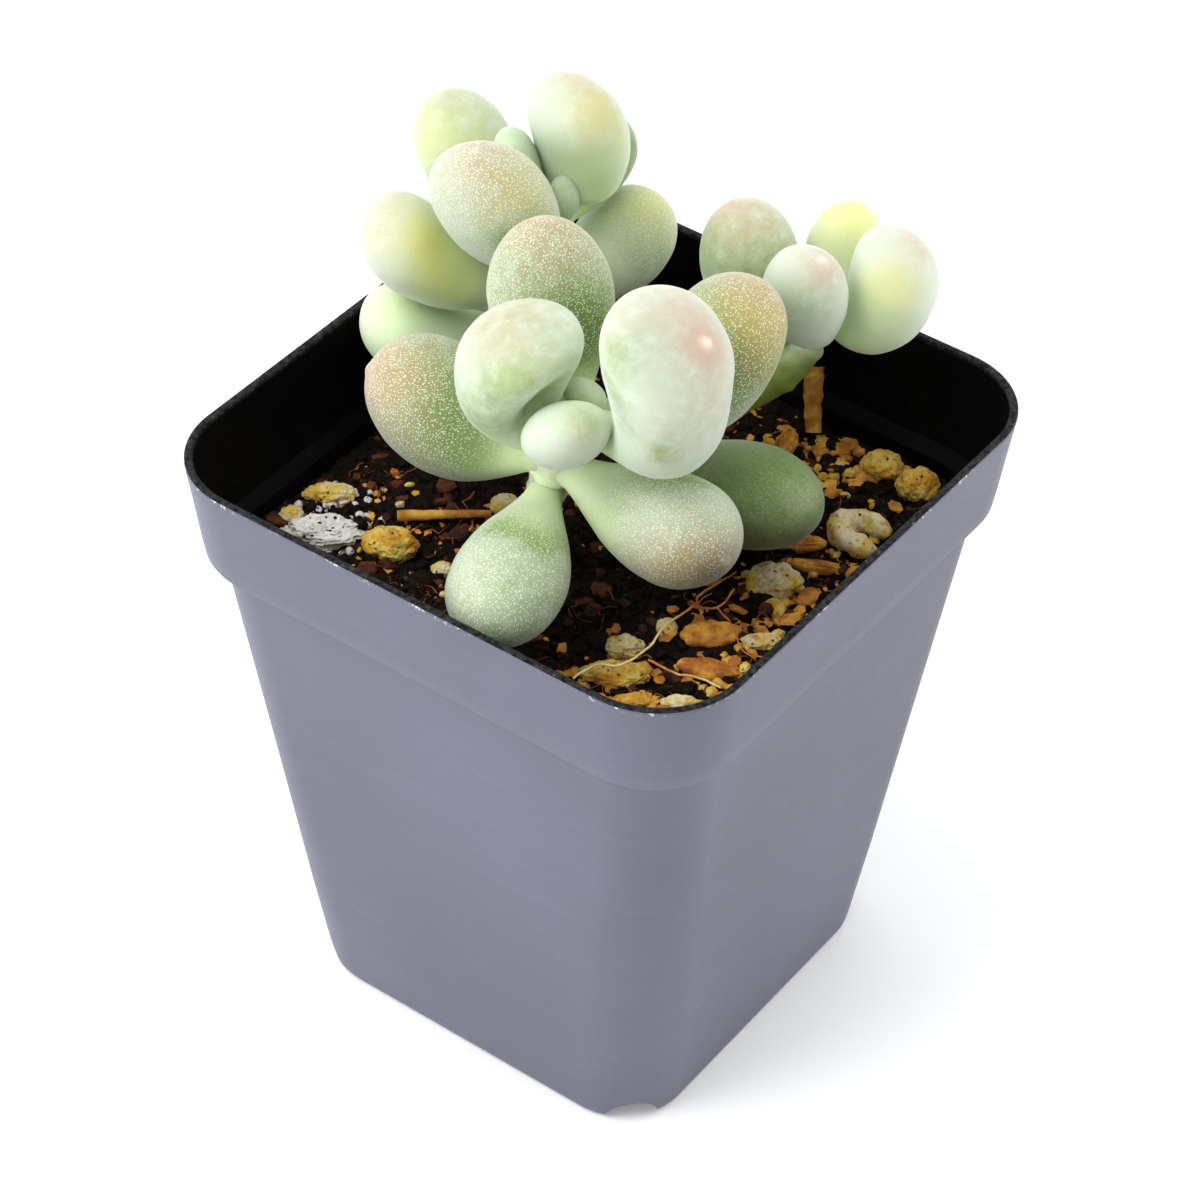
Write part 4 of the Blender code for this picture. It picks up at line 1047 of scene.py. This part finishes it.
# Painted shade: the inside is kept nearly black, darker than the outside, though both are one plastic; the rim's top
# is lighter.
tone = f.coat((0.0025, 0.0025, 0.003), (0.010, 0.009, 0.008), dust, 0.4)
tone = f.coat(tone, (0.035, 0.035, 0.038), on_rim, f.step(fine, 0.35, 0.65))
chalk = f.times(f.step(fine, 0.66, 0.74), f.calc("MULTIPLY_ADD", on_rim, 0.6, 0.05))
inside = f.wear(f.blend(chalk, tone, (0.40, 0.41, 0.43)), fine, 0.00008, 0.7)

# %% [markdown]
# ## Pot
#
# The pot is one thin moulded wall. Its mesh starts as a circle, whose points are moved to a square
# with round corners. That loop is pulled up the outside, over the rim and down the inside, with extra
# loops where an edge should be round. Four cylinders then cut the small arches at the foot.

# %% Pot shape
CORNER_POINTS = 20
# Each ring: half its width, the radius of its corners, and its height.
POT_RINGS = [
    (23.7, 7.6, 0.0), (24.1, 7.95, 0.12), (24.35, 8.15, 0.5), (24.5, 8.2, 1.2), (26.0, 8.35, 13.0),
    (28.0, 8.6, 30.0), (30.0, 8.8, 47.0), (31.8, 8.98, 62.0), (31.98, 9.0, 63.45), (32.2, 9.1, 63.62),
    (33.25, 9.8, 64.05), (33.5, 9.88, 64.16), (33.62, 9.92, 64.4), (33.9, 10.05, 66.5), (34.5, 10.3, 72.0),
    (34.97, 10.5, 76.0), (34.99, 10.5, 76.25), (34.93, 10.46, 76.4), (34.8, 10.35, 76.5), (34.25, 9.8, 76.5),
    (34.1, 9.66, 76.43), (34.02, 9.6, 76.3), (34.0, 9.5, 76.0), (33.4, 9.3, 71.0), (32.75, 9.0, 64.9),
    (32.6, 8.9, 64.45), (32.2, 8.5, 64.25), (31.3, 8.1, 63.75), (31.02, 8.0, 63.5), (30.9, 8.0, 62.5),
    (29.0, 7.8, 47.0), (23.5, 7.25, 1.6), (23.0, 6.9, 1.5),
]
RINGS_OUTSIDE = 17


def square_loop(verts, layer, ring):
    half, corner, z = ring
    for vert in verts:
        quarter, step_on = divmod(vert[layer], CORNER_POINTS)
        angle = pi / 2 * (quarter + step_on / (CORNER_POINTS - 1))
        sign_x = 1 if quarter in (0, 3) else -1
        sign_y = 1 if quarter in (0, 1) else -1
        vert.co = (sign_x * (half - corner) + corner * cos(angle),
                   sign_y * (half - corner) + corner * sin(angle), z)


bm = bmesh.new()
order = bm.verts.layers.int.new("order")
first = loop = list(bmesh.ops.create_circle(bm, segments=4 * CORNER_POINTS, radius=1.0)["verts"])
for i, vert in enumerate(loop):
    vert[order] = i
square_loop(loop, order, POT_RINGS[0])
for number, ring in enumerate(POT_RINGS[1:], start=1):
    here = set(loop)
    edges = [edge for edge in bm.edges if edge.verts[0] in here and edge.verts[1] in here]
    made = bmesh.ops.extrude_edge_only(bm, edges=edges)["geom"]
    loop = [item for item in made if isinstance(item, bmesh.types.BMVert)]
    square_loop(loop, order, ring)
    for face in (item for item in made if isinstance(item, bmesh.types.BMFace)):
        face.material_index = 0 if number <= RINGS_OUTSIDE else 1
for rim_loop, index in ((first, 0), (loop, 1)):
    for face in bmesh.ops.contextual_create(bm, geom=rim_loop)["faces"]:
        face.material_index = index
pot_mesh = to_mesh(bm)
for finish in (outside_painted_reflection, inside):
    pot_mesh.materials.append(finish)
print("pot faces:", len(pot_mesh.polygons))

# %% Arches at the foot
ARCH_RADIUS = 3.0
ARCH_LENGTH = 10.5
ARCH_MIDDLE = 30.75     # from the pot's middle, out to the corner
body = hang("pot_body", pot_mesh)
cutters = []
for quarter in range(4):
    bm = bmesh.new()
    bmesh.ops.create_cone(bm, cap_ends=True, segments=48, radius1=ARCH_RADIUS, radius2=ARCH_RADIUS,
                          depth=ARCH_LENGTH)
    lay = Matrix.Rotation(radians(45 + 90 * quarter), 4, "Z") @ Matrix.Translation((ARCH_MIDDLE, 0, 0))
    bmesh.ops.transform(bm, matrix=lay @ Matrix.Rotation(radians(90), 4, "Y"), verts=bm.verts)
    cutter = hang(f"arch_{quarter}", to_mesh(bm))
    cut = body.modifiers.new(cutter.name, "BOOLEAN")
    cut.operation = "DIFFERENCE"
    cut.solver = "EXACT"
    cut.object = cutter
    cutters.append(cutter)
pot_mesh = as_shown(body)
for item in cutters + [body]:
    bpy.data.objects.remove(item, do_unlink=True)

show("skin_pot", pot_mesh, [outside_painted_reflection, inside], ["pot"], sharp=38)

# %% [markdown]
# ## Size of the dressed plant
#
# The dressed plant should be as big as its solids; its box is printed in millimetres.

# %% Sizes and finish
low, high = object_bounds()
print("dressed box in mm:", [round(v / MM, 1) for v in (*low, *high)])
